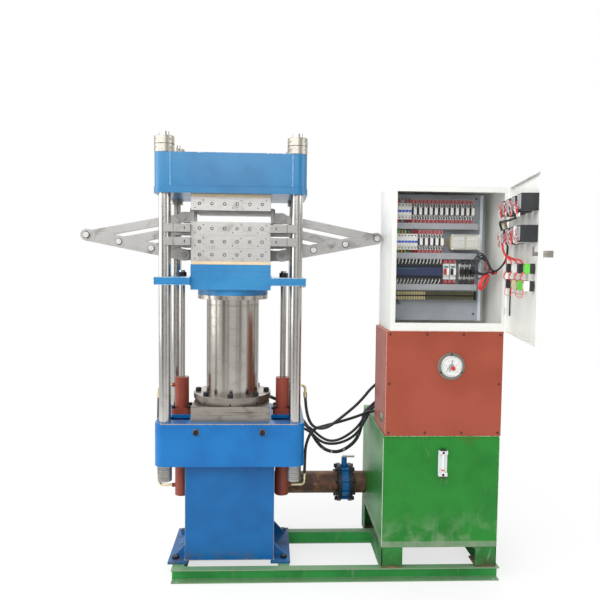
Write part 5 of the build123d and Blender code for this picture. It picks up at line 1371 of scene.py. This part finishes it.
@dataclass
class OilTank:
    """The welded tank on angle legs with its lid, filler, level gauge and runs of housing paint.

    Attributes:
        skid_back: the skid's back edge; a leg in front of it stands on the skid.
        tube, mark: radius, lowest and highest Z of the clear tube and of the red mark.
        runs: X and length of each run of paint.
    """

    left: float = 784.0
    right: float = 1384.0
    front: float = -264.0
    back: float = 441.0
    floor: float = 175.0
    top: float = 758.0
    lid: float = 8.0
    seam_gap: float = 0.3
    box_edge: float = 2.5
    lid_edge: float = 1.5
    leg: float = 110.0
    leg_wall: float = 6.0
    leg_edge: float = 1.2
    foot_thickness: float = 8.0
    skid_top: float = 70.0
    skid_back: float = 218.5
    neck: tuple = ((38, 0), (38, 46), (43, 48), (43, 66), (39, 70))
    neck_place: tuple = (1270, 330, 758)
    corner_bead: float = 2.2
    seam_bead: float = 1.8
    bead_in: float = 0.5
    gauge_place: tuple = (1090, -264, 620)
    gauge_blocks: tuple = (
        (PALE_PLASTIC, (-23, 23), (-7, 0), (-52, 52), 1),
        (PALE_PLASTIC, (-23, 23), (-20, 0), (-67, -47), 2),
        (PALE_PLASTIC, (-23, 23), (-20, 0), (47, 67), 2),
        (DARK_PLASTIC, (-17, 17), (-22, -2), (-72, -66), 1.5),
        (DARK_PLASTIC, (-17, 17), (-22, -2), (66, 72), 1.5))
    gauge_screw: tuple = (6, 2, 3)
    gauge_screws: tuple = ((0, -20, -57), (0, -20, 57))
    tube: tuple = (6.3, -48, 48)
    mark: tuple = (6.6, -38, -30)
    tube_y: float = -13.6
    runs: tuple = (
        (1183, 30), (1196, 18), (1211, 52), (1219, 38), (1232, 24), (1247, 44), (1262, 16), (1270, 27),
        (1001, 12), (905, 9))
    drip: tuple = ((1086, -264.1, 548), (1085, -264.1, 536), (1086, -264.1, 522))
    drip_radius: float = 1.6
    run_steps: int = 12
    run_flat: float = 0.35

    def build(self) -> None:
        """Build the tank, its gauge and its paint runs."""
        self._shell()
        self._level_gauge()
        self._paint_runs()

    def _shell(self) -> None:
        """Box, lid, legs, filler and weld beads as one piece."""
        seam = self.top - self.lid
        width, depth = (self.left, self.right), (self.front, self.back)
        tray = Tray()
        tray.blocks(((TANK_GREEN, width, depth, (self.floor, seam - self.seam_gap), self.box_edge),
                     (TANK_GREEN, width, depth, (seam, self.top), self.lid_edge)))
        for x, turn_x in ((self.left, 1), (self.right, -1)):
            for y, turn_y in ((self.front, 1), (self.back, -1)):
                base = self.skid_top if y < self.skid_back else 0.0
                low = base + self.foot_thickness
                wide, deep = (x, x + turn_x * self.leg), (y, y + turn_y * self.leg)
                thin_x, thin_y = (x, x + turn_x * self.leg_wall), (y, y + turn_y * self.leg_wall)
                tray.blocks(((LEG_GREEN, wide, thin_y, (low, self.floor), self.leg_edge),
                             (LEG_GREEN, thin_x, deep, (low, self.floor), self.leg_edge),
                             (PIPE, wide, deep, (base, low), self.leg_edge)))
        tray.add(TANK_GREEN, lathe(self.neck, 36).moved(*self.neck_place))
        y = self.front + self.bead_in
        tray.add(TANK_GREEN, *[weld_bead((x, y, self.floor + 3), (x, y, seam - 3), self.corner_bead)
                               for x in width])
        tray.add(TANK_GREEN, weld_bead((self.left + 4, y, seam), (self.right - 4, y, seam), self.seam_bead))
        make_piece("oil_tank_dressed", tray.parts, Body.FRAME, ["oil_tank"])

    def _level_gauge(self) -> None:
        """Pale channel with two end blocks, black caps, a clear tube and a red mark low in it."""
        tray = Tray()
        tray.blocks(self.gauge_blocks)
        tray.add(BLACK_STEEL, hex_screw(*self.gauge_screw).facing(FORWARD).repeated(self.gauge_screws))
        tray.add(SIGHT, plain_disc(*self.tube).moved(0, self.tube_y))
        tray.add(RED_PLASTIC, plain_disc(*self.mark).moved(0, self.tube_y))
        make_piece("level_gauge_dressed", tray.moved(self.gauge_place), Body.FRAME,
                   ["level_gauge"])

    def _paint_runs(self) -> None:
        """Runs of housing paint from the seam: each is a thin tongue that widens to a drop at its end."""
        share = np.linspace(0, 1, self.run_steps)
        radius = 1.1 + 0.5 * np.sin(share * 2.0) + np.exp(-((share - 0.93) / 0.07) ** 2) * 0.9
        shapes = [along(np.stack([x + np.sin(share * 3) * 0.8, np.full(self.run_steps, self.front - 0.1),
                                  self.top - length * share], -1), radius, 8, self.run_flat)
                  for x, length in self.runs]
        shapes.append(along(self.drip, self.drip_radius, 8, self.run_flat))
        make_piece("paint_runs", [(gathered(shapes), BRICK)], Body.FRAME)


@dataclass
class Housing:
    """The sheet housing with its screwed front panel and the contact pressure gauge.

    Attributes:
        rings, discs: turned rings, and discs with their place, radius, heights, rim and steps.
        ticks: a short and a long mark, pointing to the right.
        figure: radius, size and height of a number.
        needle, hub: the pointer, which rests at the zero.
    """

    left: float = 791.0
    right: float = 1389.0
    low: float = 758.0
    high: float = 1296.0
    face: float = -262.0
    border: float = 17.0
    columns: int = 4
    panel: tuple = (BRICK, (791, 1389), (-262, -259), (758.4, 1296), 0.9)
    rim: tuple = (
        ((789.5, 1390.5), (-263.5, 67), (1289, 1295.8), 1),
        ((789.8, 792.5), (-262, -250), (758, 1290), 0.6), ((789.8, 792.5), (57, 67), (758, 1290), 0.6),
        ((789.8, 792.5), (-262, 67), (758, 767), 0.6))
    screw: tuple = ((6.8, 0), (6.8, 1.2), (5.4, 2.4), (2.6, 2.6), (2.2, 1.2))
    gauge_place: tuple = (1123, -262, 1118)
    zero: float = 225.0
    sweep: float = 270.0
    marks: int = 26
    figures: tuple = ("0", "10", "20", "30", "40", "50")
    fine: int = 72
    rings: tuple = (
        (GLAND, ((70, 0), (70, 4), (69, 5), (55, 5))),
        (PIN_STEEL, ((54.5, 4), (54.5, 11), (53, 12), (49.5, 12), (48, 11), (48, 5.6))))
    discs: tuple = (
        (DIAL, (0, 0), 47.8, 5.5, 6.2, 0.2, 64), (DIAL_INK, (0, 0), 13, 6.3, 9.4),
        (RED_PLASTIC, (8, -9), 11, 11.4, 15.5, 1.5), (GLASS, (0, 0), 48.5, 10.6, 11.2, 0.2, 64))
    ticks: tuple = (((39, 44), (-0.6, 0.6), (6.2, 6.5), 0.1), ((36, 44), (-0.6, 0.6), (6.2, 6.5), 0.1))
    figure: tuple = (29, 9, 6.4)
    hand: tuple = ((-2.8, 2.8), (8.2, 9), 0.3)
    hands: tuple = ((82, 33), (250, 30), (205, 26))
    gauge_screw: tuple = (4.5, 3.5, 2.4)
    screw_radius: float = 62.0
    screw_angles: tuple = (90, 210, 330)
    screw_height: float = 5.0
    case: tuple = (54, 0, 62, 2, 48)
    case_y: float = 3.0
    stem: tuple = ((6, 0), (6, 30), (11, 32), (11, 48))
    stem_place: tuple = (0, 34, -50)
    needle: tuple = ((-14, 40), (-1.6, 1.6), (7, 7.8), 0.3)
    hub: tuple = (6, 6.6, 8)

    def build(self) -> None:
        """Build the panel, screws, rim, gauge and pointer."""
        soften("unit_housing", Body.FRAME, "housing_terracotta", BRICK, 0.8)
        tray = Tray()
        tray.blocks([self.panel])
        xs = np.linspace(self.left + self.border, self.right - self.border, self.columns)
        places = [(x, self.face, z) for x in xs for z in (self.low + self.border, self.high - self.border)]
        places += [(x, self.face, (self.low + self.high) / 2) for x in (xs[0], xs[-1])]
        tray.add(SCREW_RED, lathe(self.screw, 18).facing(FORWARD).repeated(places))
        make_piece("housing_panel_dressed", tray.parts, Body.FRAME, ["housing_panel"])
        rim = gathered([block(*row) for row in self.rim])
        make_piece("housing_rim", [(rim, BRICK)], Body.FRAME)
        self._gauge()
        pointer = [block(*self.needle).turned(Axis.Z, self.zero), plain_disc(*self.hub)]
        make_piece("gauge_pointer_dressed", [(self._on_dial(shape), DIAL_INK) for shape in pointer],
                   Body.POINTER,
                   ["gauge_pointer"])

    def _on_dial(self, shape: Shape) -> Shape:
        """Stand a shape that lies flat about Z up on the gauge's place."""
        return shape.turned(Axis.X, 90).moved(*self.gauge_place)

    def _gauge(self) -> None:
        """Flange, bezel, dial with ticks and numbers, contact hands, knob, glass, screws, case and stem."""
        flat = Tray()
        for finish, profile in self.rings:
            flat.add(finish, lathe(profile, self.fine))
        for finish, place, *sizes in self.discs:
            flat.add(finish, plain_disc(*sizes).moved(*place))
        angles = np.linspace(self.zero, self.zero - self.sweep, self.marks)
        step = (self.marks - 1) // (len(self.figures) - 1)
        for index, angle in enumerate(angles):
            flat.add(DIAL_INK, block(*self.ticks[index % step == 0]).turned(Axis.Z, angle))
        radius, size, height = self.figure
        for text, angle in zip(self.figures, np.radians(angles[::step])):
            x, y = radius * math.cos(angle), radius * math.sin(angle)
            flat.add(DIAL_INK, words(text, size).moved(x, y, height))
        for angle, reach in self.hands:
            flat.add(DIAL_INK, block((0, reach), *self.hand).turned(Axis.Z, angle))
        around = np.radians(self.screw_angles)
        spots = np.stack([np.cos(around) * self.screw_radius, np.sin(around) * self.screw_radius,
                          np.full(len(around), self.screw_height)], -1)
        flat.add(BLACK_STEEL, hex_screw(*self.gauge_screw).repeated(spots))
        behind = (plain_disc(*self.case).facing(BACK).moved(0, self.case_y),
                  lathe(self.stem, 20).facing(DOWN).moved(*self.stem_place))
        parts = [(self._on_dial(shape), finish) for shape, finish in flat.parts]
        parts += [(shape.moved(*self.gauge_place), TURNED) for shape in behind]
        make_piece("pressure_gauge_dressed", parts, Body.FRAME, ["pressure_gauge"])


@dataclass
class Cabinet:
    """The control cabinet, its mounting plate and everything clipped and wired on it.

    A device's boxes are rows of finish, X, Y and Z range and edge, with X from its left side, Y from the
    rail's face and Z from the rail's middle.

    Attributes:
        rows, ducts: middle Z of each rail and duct.
        marks, mark_xs: finish and Z of a relay's rows of marks, and X and rise of each in a row.
        leads: finish, radius and points of the loose leads.
    """

    rail_face: float = -38.5
    plate_face: float = -31.0
    row_left: float = 852.0
    rows: tuple = (1912, 1752, 1596, 1467)
    ducts: tuple = (1836, 1678, 1513)
    plate: tuple = (
        (PLATE, (818, 1339), (-31, -28), (1332, 2005), 0.6),
        (FOLD, (1322, 1339), (-41, -31.3), (1332, 2005), 1.5))
    plate_xs: tuple = (842, 1303)
    plate_zs: tuple = (1368, 1987)
    rail: tuple = (TURNED, (834.5, 1300), (-7.5, 0), (-17.5, 17.5), 0.6)
    duct: tuple = ((DUCT, (834.5, 1300), (-30, 0), (-15, 15), 0.6),
                   (DUCT, (834.5, 1300), (-55, -51), (-16, 16), 0.8))
    finger: tuple = (DUCT, (0, 6.5), (-51, 0), (-17, 17), 0.5)
    finger_xs: tuple = (834.5, 1293, 10)
    breaker: tuple = (
        (WHITE_PLASTIC, (0, 17), (-44, 0), (-42, 42), 0.8),
        (WHITE_PLASTIC, (0, 17), (-62, -43), (-22, 22), 1),
        (BLUE_PLASTIC, (1.5, 15.5), (-67, -61), (-6, 5), 1),
        (DIAL_INK, (5, 12), (-44.6, -43.5), (-36, -30), 0.3),
        (DIAL_INK, (5, 12), (-44.6, -43.5), (30, 36), 0.3))
    module: float = 17.5
    relay: tuple = (
        (PALE_PLASTIC, (0, 27.5), (-40, 0), (-42, 42), 0.8),
        (WHITE_PLASTIC, (11, 26), (-62, -39), (-17, 19), 1),
        (DARK_PLASTIC, (1.5, 10.5), (-56, -39), (-19, 21), 1))
    relay_width: float = 28.0
    marks: tuple = ((DIAL_INK, 36), (NAVY_PLASTIC, 29), (DIAL_INK, -29), (NAVY_PLASTIC, -36))
    mark: tuple = ((0, 4), (-40.8, -39.5), (-2.4, 2.4), 0.3)
    mark_xs: tuple = ((4, -1.5), (11.5, 1.5), (19, 1.5))
    sleeve_length: float = 20.0
    sleeve_y: float = -36.0
    half_height: float = 42.0
    solid_state: tuple = (
        (BEIGE_PLASTIC, (0, 73.5), (-58, 0), (-35, 35), 2),
        (PALE_PLASTIC, (8, 66), (-60, -57), (10, 27), 1),
        *[(PALE_PLASTIC, (9 + step, 17 + step), (-60, -57), (-28, 6), 0.8)
          for step in (0, 12, 24, 36, 48)])
    cover: tuple = (GLASS, (1150, 1309), (-61.8, -60.8), (-40, 42), 0.4)
    controller: tuple = (
        (NAVY_PLASTIC, (860, 1105), (-70, 0), (-24, 24), 2),
        (DARK_PLASTIC, (860, 1105), (-52, 0), (-44, -25), 1),
        (DARK_PLASTIC, (860, 1105), (-52, 0), (25, 44), 1))
    lamp: tuple = (GREEN_PLASTIC, (0, 3), (-71, -69.6), (12, 14.4), 0.3)
    small_relay: tuple = (
        (PALE_PLASTIC, (0, 32), (-46, 0), (-42, 42), 1),
        (WHITE_PLASTIC, (16, 29), (-62, -45), (-18, 18), 1),
        (TEAL_PLASTIC, (6, 26), (-48, -45), (22, 30), 0.5))
    contactor: tuple = (
        (PALE_PLASTIC, (0, 26), (-40, 0), (-42, 42), 1), (DIAL_INK, (1, 25), (-62, -39), (-13, 13), 1.2),
        *[(DIAL_INK, (x, x + 5), (-52, -39), (z - 8, z + 8), 0.6) for x in (3, 15) for z in (-20, 20)])
    strip: tuple = (
        (DIAL_INK, (852, 1300), (-26, 0), (-19, 19), 1), (DIAL_INK, (846, 853), (-37, 0), (-23, 25), 1),
        (DIAL_INK, (1295, 1303), (-37, 0), (-23, 23), 1))
    tooth: tuple = (((2.4, 6.4), (-37, -25), (-21, -4), 0.6), ((2.4, 6.4), (-37, -25), (4, 21), 0.6))
    leads: tuple = (
        (RED_PLASTIC, 2.6, ((1322, -140, 1650), (1330, -156, 1620), (1336, -170, 1596), (1341, -210, 1588),
                            (1343, -262, 1592))),
        (RED_PLASTIC, 2.6, ((1322, -144, 1590), (1338, -180, 1594), (1346, -220, 1588), (1345, -262, 1600))),
        (DARK_PLASTIC, 3, ((1282, -112, 1580), (1300, -130, 1560), (1322, -150, 1585), (1341, -190, 1598),
                           (1342, -240, 1592))))
    tie: tuple = (DARK_PLASTIC, (1338, 1352), (-214, -196), (1584, 1606), 2)

    def build(self) -> None:
        """Build the shell, the plate and the devices."""
        soften("control_cabinet", Body.FRAME, "cabinet_white", CABINET, 1.0)
        self._plate()
        tray = Tray()
        self._rails_and_ducts(tray)
        self._first_row(tray)
        self._second_row(tray)
        self._controller(tray)
        self._contactors(tray)
        self._terminals(tray)
        make_piece("cabinet_devices_dressed", tray.parts, Body.FRAME, ["cabinet_devices"])
        self._loose_cables()

    def _on_rail(self, xs: Sequence[float], z: float) -> list[tuple]:
        """Places on the face of the rail at a height."""
        return [(x, self.rail_face, z) for x in xs]

    def _plate(self) -> None:
        """Zinc plate with a pale folded edge on its right, screws and stand-offs."""
        tray = Tray()
        tray.blocks(self.plate)
        spots = np.array([(x, self.plate_face, z) for x in self.plate_xs for z in self.plate_zs])
        tray.add(TURNED, plain_disc(5, 0, 96).facing(BACK).moved(0, 3).repeated(spots))
        tray.add(BLACK_STEEL, hex_screw(5, 3, 2.6).facing(FORWARD).repeated(spots))
        make_piece("mounting_plate_dressed", tray.parts, Body.FRAME, ["mounting_plate"])

    def _rails_and_ducts(self, tray: Tray) -> None:
        """Hat rails, and slotted ducts: a body with two rows of fingers and a lid."""
        tray.blocks([self.rail], [(0, self.plate_face, z) for z in self.rows])
        tray.blocks(self.duct, [(0, self.plate_face, z) for z in self.ducts])
        xs = np.arange(*self.finger_xs)
        tray.blocks([self.finger], [(x, self.plate_face, z) for z in self.ducts for x in xs])

    def _breakers(self, tray: Tray, centre: float, bands: Sequence[Finish]) -> None:
        """Miniature breakers with blue levers, each with wires in sleeves of its own finish."""
        xs = self.row_left + self.module * np.arange(len(bands))
        tray.blocks(self.breaker, self._on_rail(xs, centre))
        for x, band in zip(xs, bands):
            self._sleeves(tray, band, [x + 8.5], centre, 3.4)

    def _sleeves(self, tray: Tray, finish: Finish, xs: Sequence[float], centre: float, radius: float,
                 sides: Sequence[int] = (-1, 1), wire: Finish = DARK_PLASTIC) -> None:
        """Wires from a device's ends to the ducts, each with a sleeve at the device.

        Args:
            tray: where they go.
            finish: the sleeves' finish; every third rose sleeve is red.
            xs: X of each wire.
            centre: the rail's middle Z.
            radius: a sleeve's radius.
            sides: below (-1) and above (1).
            wire: the wires' finish.
        """
        length, y = self.sleeve_length, self.rail_face + self.sleeve_y
        sleeve = lathe([(radius, 0), (radius, length)], 8)
        strand = lathe([(radius * 0.6, 0), (radius * 0.6, length)], 6)
        third = RED_PLASTIC if finish is ROSE_PLASTIC else finish
        for side in sides:
            below = length if side < 0 else 0
            low = centre + side * (self.half_height - 1) - below
            start = centre + side * (self.half_height + 8) - below
            others = [(x, y, low + 3 * (k % 2)) for k, x in enumerate(xs) if k % 3]
            if others:
                tray.add(finish, sleeve.repeated(others))
            tray.add(third, sleeve.repeated([(x, y, low) for x in xs[::3]]))
            tray.add(wire, strand.repeated([(x, y, start) for x in xs]))

    def _relays(self, tray: Tray, centre: float, left: float, count: int) -> None:
        """Plug-in relays: a pale socket, a dark and a white half on its face, screws and short wires."""
        xs = left + self.relay_width * np.arange(count)
        tray.blocks(self.relay, self._on_rail(xs, centre))
        for finish, height in self.marks:
            spots = [(x + dx, self.rail_face, centre + height + rise)
                     for x in xs for dx, rise in self.mark_xs]
            tray.add(finish, block(*self.mark).repeated(spots))
        for side in (-1, 1):
            line = ((0, -43, side * 41), (3, -47, side * 33), (5 * side, -44, side * 23))
            strand = along(smooth_path(line, 3), 1.7, 5)
            pairs = self._on_rail([x + dx for x in xs for dx in (6, 20)], centre)
            tray.add(DARK_PLASTIC, strand.repeated(pairs))
            tray.add(WHITE_PLASTIC, strand.moved(13, -2).repeated(self._on_rail(xs, centre)))
        self._sleeves(tray, ROSE_PLASTIC, [x + dx for x in xs for dx in (4, 11, 18, 24)], centre, 2.6,
                      wire=GREY_PLASTIC)

    def _first_row(self, tray: Tray) -> None:
        """Five breakers and twelve relays."""
        bands = (RED_PLASTIC, ROSE_PLASTIC, GREY_PLASTIC, RED_PLASTIC, ROSE_PLASTIC)
        self._breakers(tray, self.rows[0], bands)
        self._relays(tray, self.rows[0], self.row_left + len(bands) * self.module + 0.5, 12)

    def _second_row(self, tray: Tray) -> None:
        """Seven breakers, five relays and the clear cover over the two solid state relays."""
        z = self.rows[1]
        bands = (GREEN_PLASTIC, GREEN_PLASTIC, YELLOW_PLASTIC, YELLOW_PLASTIC, TEAL_PLASTIC, RED_PLASTIC,
                 RED_PLASTIC)
        self._breakers(tray, z, bands)
        self._relays(tray, z, self.row_left + len(bands) * self.module + 0.5, 5)
        tray.blocks(self.solid_state, self._on_rail((1156.0, 1231.5), z))
        tray.blocks([self.cover], self._on_rail((0,), z))
        spots = [place for dz in (-36, 36) for place in self._on_rail((1160, 1300), z + dz)]
        tray.add(WHITE_PLASTIC, hex_screw(4.5, 3, 2.2).facing(FORWARD).moved(0, -62).repeated(spots))

    def _controller(self, tray: Tray) -> None:
        """The navy controller with its lamps, and slanted wires above and below."""
        z, face = self.rows[2], self.rail_face
        tray.blocks(self.controller, self._on_rail((0,), z))
        tray.blocks([self.lamp], self._on_rail(880 + 9 * np.arange(10), z))
        rng = np.random.default_rng(4)
        for index, x in enumerate(np.linspace(866, 1099, 26)):
            for side in (-1, 1):
                lean = 9.0 * side + float(rng.uniform(-2, 2))
                line = ((x, face - 50, z + side * 40), (x + lean * 0.4, face - 56, z + side * 50),
                        (x + lean, face - 44, z + side * 66))
                tray.wires((DARK_PLASTIC, WHITE_PLASTIC)[index % 2], [line], 2.3)

    def _contactors(self, tray: Tray) -> None:
        """Two small relays and three black contactors with their wires."""
        z, face = self.rows[2], self.rail_face
        tray.blocks(self.small_relay, self._on_rail((1118, 1154), z))
        for x, finish in ((1118, RED_PLASTIC), (1154, DARK_PLASTIC)):
            tray.blocks([(finish, (4, 14), (-60, -45), (-16, 16), 1.0)], self._on_rail((x,), z))
        self._sleeves(tray, ROSE_PLASTIC, np.linspace(1121, 1185, 9), z, 2.6, wire=RED_PLASTIC)
        lefts = (1206, 1234, 1262)
        tray.blocks(self.contactor, self._on_rail(lefts, z))
        xs = [left + dx for left in lefts for dx in (5, 12, 19)]
        tray.wires(DARK_PLASTIC, [((x, face - 46, z + s * 36), (x + 3 * s, face - 52, z + s * 52),
                                   (x + 7 * s, face - 44, z + s * 64)) for x in xs for s in (-1, 1)], 2.2)
        self._sleeves(tray, RED_PLASTIC, (1284, 1289), z, 2.6, (-1,), RED_PLASTIC)

    def _terminals(self, tray: Tray) -> None:
        """The terminal strip: brass teeth on its left, duller ones on its right, between two ends."""
        z, face = self.rows[3], self.rail_face
        tray.blocks(self.strip, self._on_rail((0,), z))
        xs = 853 + 8.75 * np.arange(50)
        for finish, some in ((BRASS_TERMINAL, xs[:20]), (OLIVE_PLASTIC, xs[20:])):
            tray.blocks([(finish, *ranges) for ranges in self.tooth], self._on_rail(some, z))
        strand = lathe([(1.5, 0), (1.5, 14)], 6).moved(4, -28, 19)
        tray.add(PALE_PLASTIC, strand.repeated(self._on_rail(xs, z)))
        tray.wires(DARK_PLASTIC, [((858 + 7 * k, face - 30, z - 18), (864 + 8 * k, face - 34, z - 34),
                                   (872 + 9 * k, face - 22, z - 48)) for k in range(4)], 2.2)

    def _loose_cables(self) -> None:
        """Coils of spare black and red cable by the plate's right edge, and red leads to the door."""
        tray = Tray()
        angle = np.linspace(0, 2 * np.pi, 40)
        cos, sin = np.cos(angle), np.sin(angle)
        for turn in range(3):
            wide, tall = 43 - 6 * turn, 56 - 7 * turn
            black = np.stack([1303 + wide * cos + 3 * turn - 0.35 * tall * sin * cos,
                              -134 - 8 * turn + 9 * sin,
                              1640 + tall * sin - 5 * turn], -1)
            wide, tall = 21 - 4 * turn, 41 - 4 * turn
            red = np.stack([1315 + wide * cos + 0.4 * tall * sin, -152 - 7 * turn + 6 * cos,
                            1545 + tall * sin], -1)
            tray.add(DARK_PLASTIC, along(black, 4.2, 8))
            tray.add(SIGNAL_RED, along(red, 4.0, 8))
        for finish, radius, line in self.leads:
            tray.wires(finish, [line], radius, 8, 8)
        tray.blocks([self.tie])
        make_piece("spare_cables", tray.parts, Body.FRAME)


@dataclass
class Door:
    """The open door with its controllers, contact blocks, lamps, wires and outer fittings.

    Devices are laid out on the shut door and then turned open. A device's boxes are rows of finish, X, Y and
    Z range and edge from its middle, with Y from the door's outer face.

    Attributes:
        shares: where the columns of devices are, as shares of the door's width.
        tints, lenses: finish of each contact block's inner half and of each lamp's lens.
    """

    hinge: tuple = (1398, -266, 0)
    opening: float = 81.0
    right: float = 1388.0
    span: float = 582.0
    outer: float = -282.0
    shares: tuple = (0.2, 0.4, 0.6, 0.8)
    controller_rows: tuple = (1905, 1770)
    button_rows: tuple = (1620, 1545)
    controller: tuple = (
        (DARK_PLASTIC, (-36, 36), (0, 76), (-36, 36), 2),
        (DARK_PLASTIC, (-39, 39), (-4, 0), (-39, 39), 1.5),
        (SCREEN, (-30, 30), (-4.6, -3.8), (-2, 30), 0.4),
        *[(GREY_PLASTIC, (x - 7, x + 7), (75, 78), (-30, 30), 0.8) for x in (-24, 0, 24)],
        *[(GREY_PLASTIC, (x - 5, x + 5), (-5.2, -3.8), (-26, -18), 0.8) for x in (-21, -7, 7, 21)])
    terminal: tuple = ((2.6, 0), (2.6, 1.2), (1.8, 1.6))
    block_front: tuple = (DARK_PLASTIC, (-15, 15), (6, 24), (-22, 22), 1.2)
    block_back: tuple = ((-15, 15), (25, 48), (-22, 22), 1.2)
    tints: tuple = (
        (DARK_PLASTIC, WHITE_PLASTIC, DARK_PLASTIC, GREEN_PLASTIC),
        (DARK_PLASTIC, BEIGE_PLASTIC, GREEN_PLASTIC, WHITE_PLASTIC))
    lenses: tuple = ((None, None, GREEN_PLASTIC, YELLOW_PLASTIC),
                     (RED_PLASTIC, GREEN_PLASTIC, YELLOW_PLASTIC, None))
    collar: tuple = ((15, 0), (15, 3.4), (13.4, 5), (11.2, 5), (10.9, 1))
    lens: tuple = ((10.5, 0), (10.5, 9), (9, 11))
    fixed: tuple = (
        (WHITE_PLASTIC, (974, 1000), (6, 80), (1732, 1806), 1.5),
        (DARK_PLASTIC, (1366, 1373), (4, 10), (1380, 1530), 1),
        (WHITE_PLASTIC, (900, 960), (76, 79), (1842, 1858), 0.8))
    bundles: tuple = (
        (BEIGE_PLASTIC, 9, ((1358, 34, 1800), (1346, 48, 1842), (1318, 52, 1850), (1290, 70, 1836))),
        (DARK_PLASTIC, 5.5, ((1350, 50, 1733), (1330, 60, 1790), (1290, 82, 1838), (1180, 88, 1838),
                             (1060, 88, 1836),
                             (940, 86, 1838))))

    @property
    def columns(self) -> list[float]:
        """X of each column of devices."""
        return [self.right - share * self.span for share in self.shares]

    def build(self) -> None:
        """Build the door's panel, devices and wires."""
        soften("cabinet_door", Body.DOOR, "cabinet_white", DOOR_WHITE, 1.0)
        for node, finish in (("door_handle", TURNED), ("emergency_stop", RED_PLASTIC),
                             ("start_button", GREEN_PLASTIC),
                             ("stop_button", RED_PLASTIC)):
            dress(node, finish)
        tray = Tray()
        self._controllers(tray)
        self._operators(tray)
        self._wires(tray)
        parts = [(shape.moved(0, self.outer).turned(Axis.Z, self.opening, self.hinge), finish)
                 for shape, finish in tray.parts]
        make_piece("door_devices_dressed", parts, Body.DOOR, ["door_devices"])

    def _controllers(self, tray: Tray) -> None:
        """Temperature controllers: black cases with terminals behind, bezels and displays in front."""
        places = [(x, 0, z) for z in self.controller_rows for x in self.columns]
        tray.blocks(self.controller, places)
        screws = lathe(self.terminal, 10).facing(BACK).repeated(
            [(dx, 77.6, dz) for dx in (-24, 0, 24) for dz in (-22, -11, 0, 11, 22)])
        tray.add(TURNED, screws.repeated(places))
        digits = words("88", 17).turned(Axis.X, 90).repeated([(-6, -4.9, 18), (9, -4.9, 2.5)])
        tray.add(DIGIT_RED, digits.repeated(places))

    def _operators(self, tray: Tray) -> None:
        """Contact blocks in their own colours, collars in front, and the lenses of the five lamps."""
        places = [(x, 0, z) for z in self.button_rows for x in self.columns]
        spots = [(x, 48, z) for x in (-9, 9) for z in (-15, 15)]
        screws = hex_screw(2.4, 1.2, 1.2).facing(BACK).repeated(spots)
        tray.blocks([self.block_front], places)
        tray.add(TURNED, lathe(self.collar, 32).facing(FORWARD).repeated(places), screws.repeated(places))
        lens = lathe(self.lens, 28).facing(FORWARD)
        for place, tint, glass in zip(places, sum(self.tints, ()), sum(self.lenses, ())):
            tray.blocks([(tint, *self.block_back)], [place])
            if glass:
                tray.add(glass, lens.moved(*place))

    def _wires(self, tray: Tray) -> None:
        """Red, white and black leads behind the door, bundles near the hinge and the seal strip."""
        back = 79
        columns = self.columns
        upper, lower = self.button_rows
        rng = np.random.default_rng(7)
        for z in self.controller_rows:
            for x in columns:
                for count in range(9):
                    dx, dz = rng.uniform(-30, 30, 2)
                    line = ((x + dx, back, z + dz), (x + dx + 8, back + 9, z + dz - 9),
                            (x + dx - 7, back + 12, z + dz - 17), (x + dx + 4, back + 5, z + dz - 27),
                            (x + dx * 0.5, back + 2, z - 44))
                    tray.wires((SIGNAL_RED, WHITE_PLASTIC, ROSE_PLASTIC)[count % 3], [line], 1.5)
        trunk = np.array([(1236, back, self.controller_rows[1] - 34), (1240, back - 6, 1704),
                          (1238, back - 20, 1676)])
        tray.wires(SIGNAL_RED, [trunk + (dx, 0, 0) for dx in (-6, 0, 6)], 3.4, 8, 8)
        for x in (1306, *columns):
            branch = np.array([(1238, back - 20, 1680), (0.6 * 1238 + 0.4 * x, back - 26, 1662),
                               (0.2 * 1238 + 0.8 * x, back - 28, 1654), (x, 50, upper + 20)])
            tray.wires(SIGNAL_RED, [branch], 2.4, 8, 8)
            tray.wires(SIGNAL_RED, [branch + (6, 0, 5)], 1.8, 6, 8)
        for x in columns:
            for dx in (-9, 0, 8):
                line = ((x + dx, 49, upper - 14), (x + dx * 1.6, 58, 1588), (x - dx, 60, 1574),
                        (x + dx, 49, lower + 14))
                tray.wires(ROSE_PLASTIC if dx == 0 else SIGNAL_RED, [line], 1.5)
        for first, last, dip in ((0, 1, 34), (1, 3, 18), (2, 3, 30)):
            line = ((columns[first], 49, lower - 16), (columns[first], 52, lower - 16 - dip),
                    (columns[last], 52, lower - 18 - dip), (columns[last], 49, lower - 16))
            tray.wires(SIGNAL_RED, [line], 1.5, 6, 8)
        tray.blocks(self.fixed)
        for finish, radius, line in self.bundles:
            tray.wires(finish, [line], radius, 10, 8)


def main() -> None:
    """Build the stage, then each part of the press."""
    logging.basicConfig(level=logging.INFO, format="%(name)s: %(message)s")
    for part in (Studio(), Hoses(), Press(), Linkage(), OilSystem(), OilTank(), Housing(), Cabinet(), Door()):
        part.build()
        LOG.info("%s done", type(part).__name__)


if __name__ == "__main__":
    main()
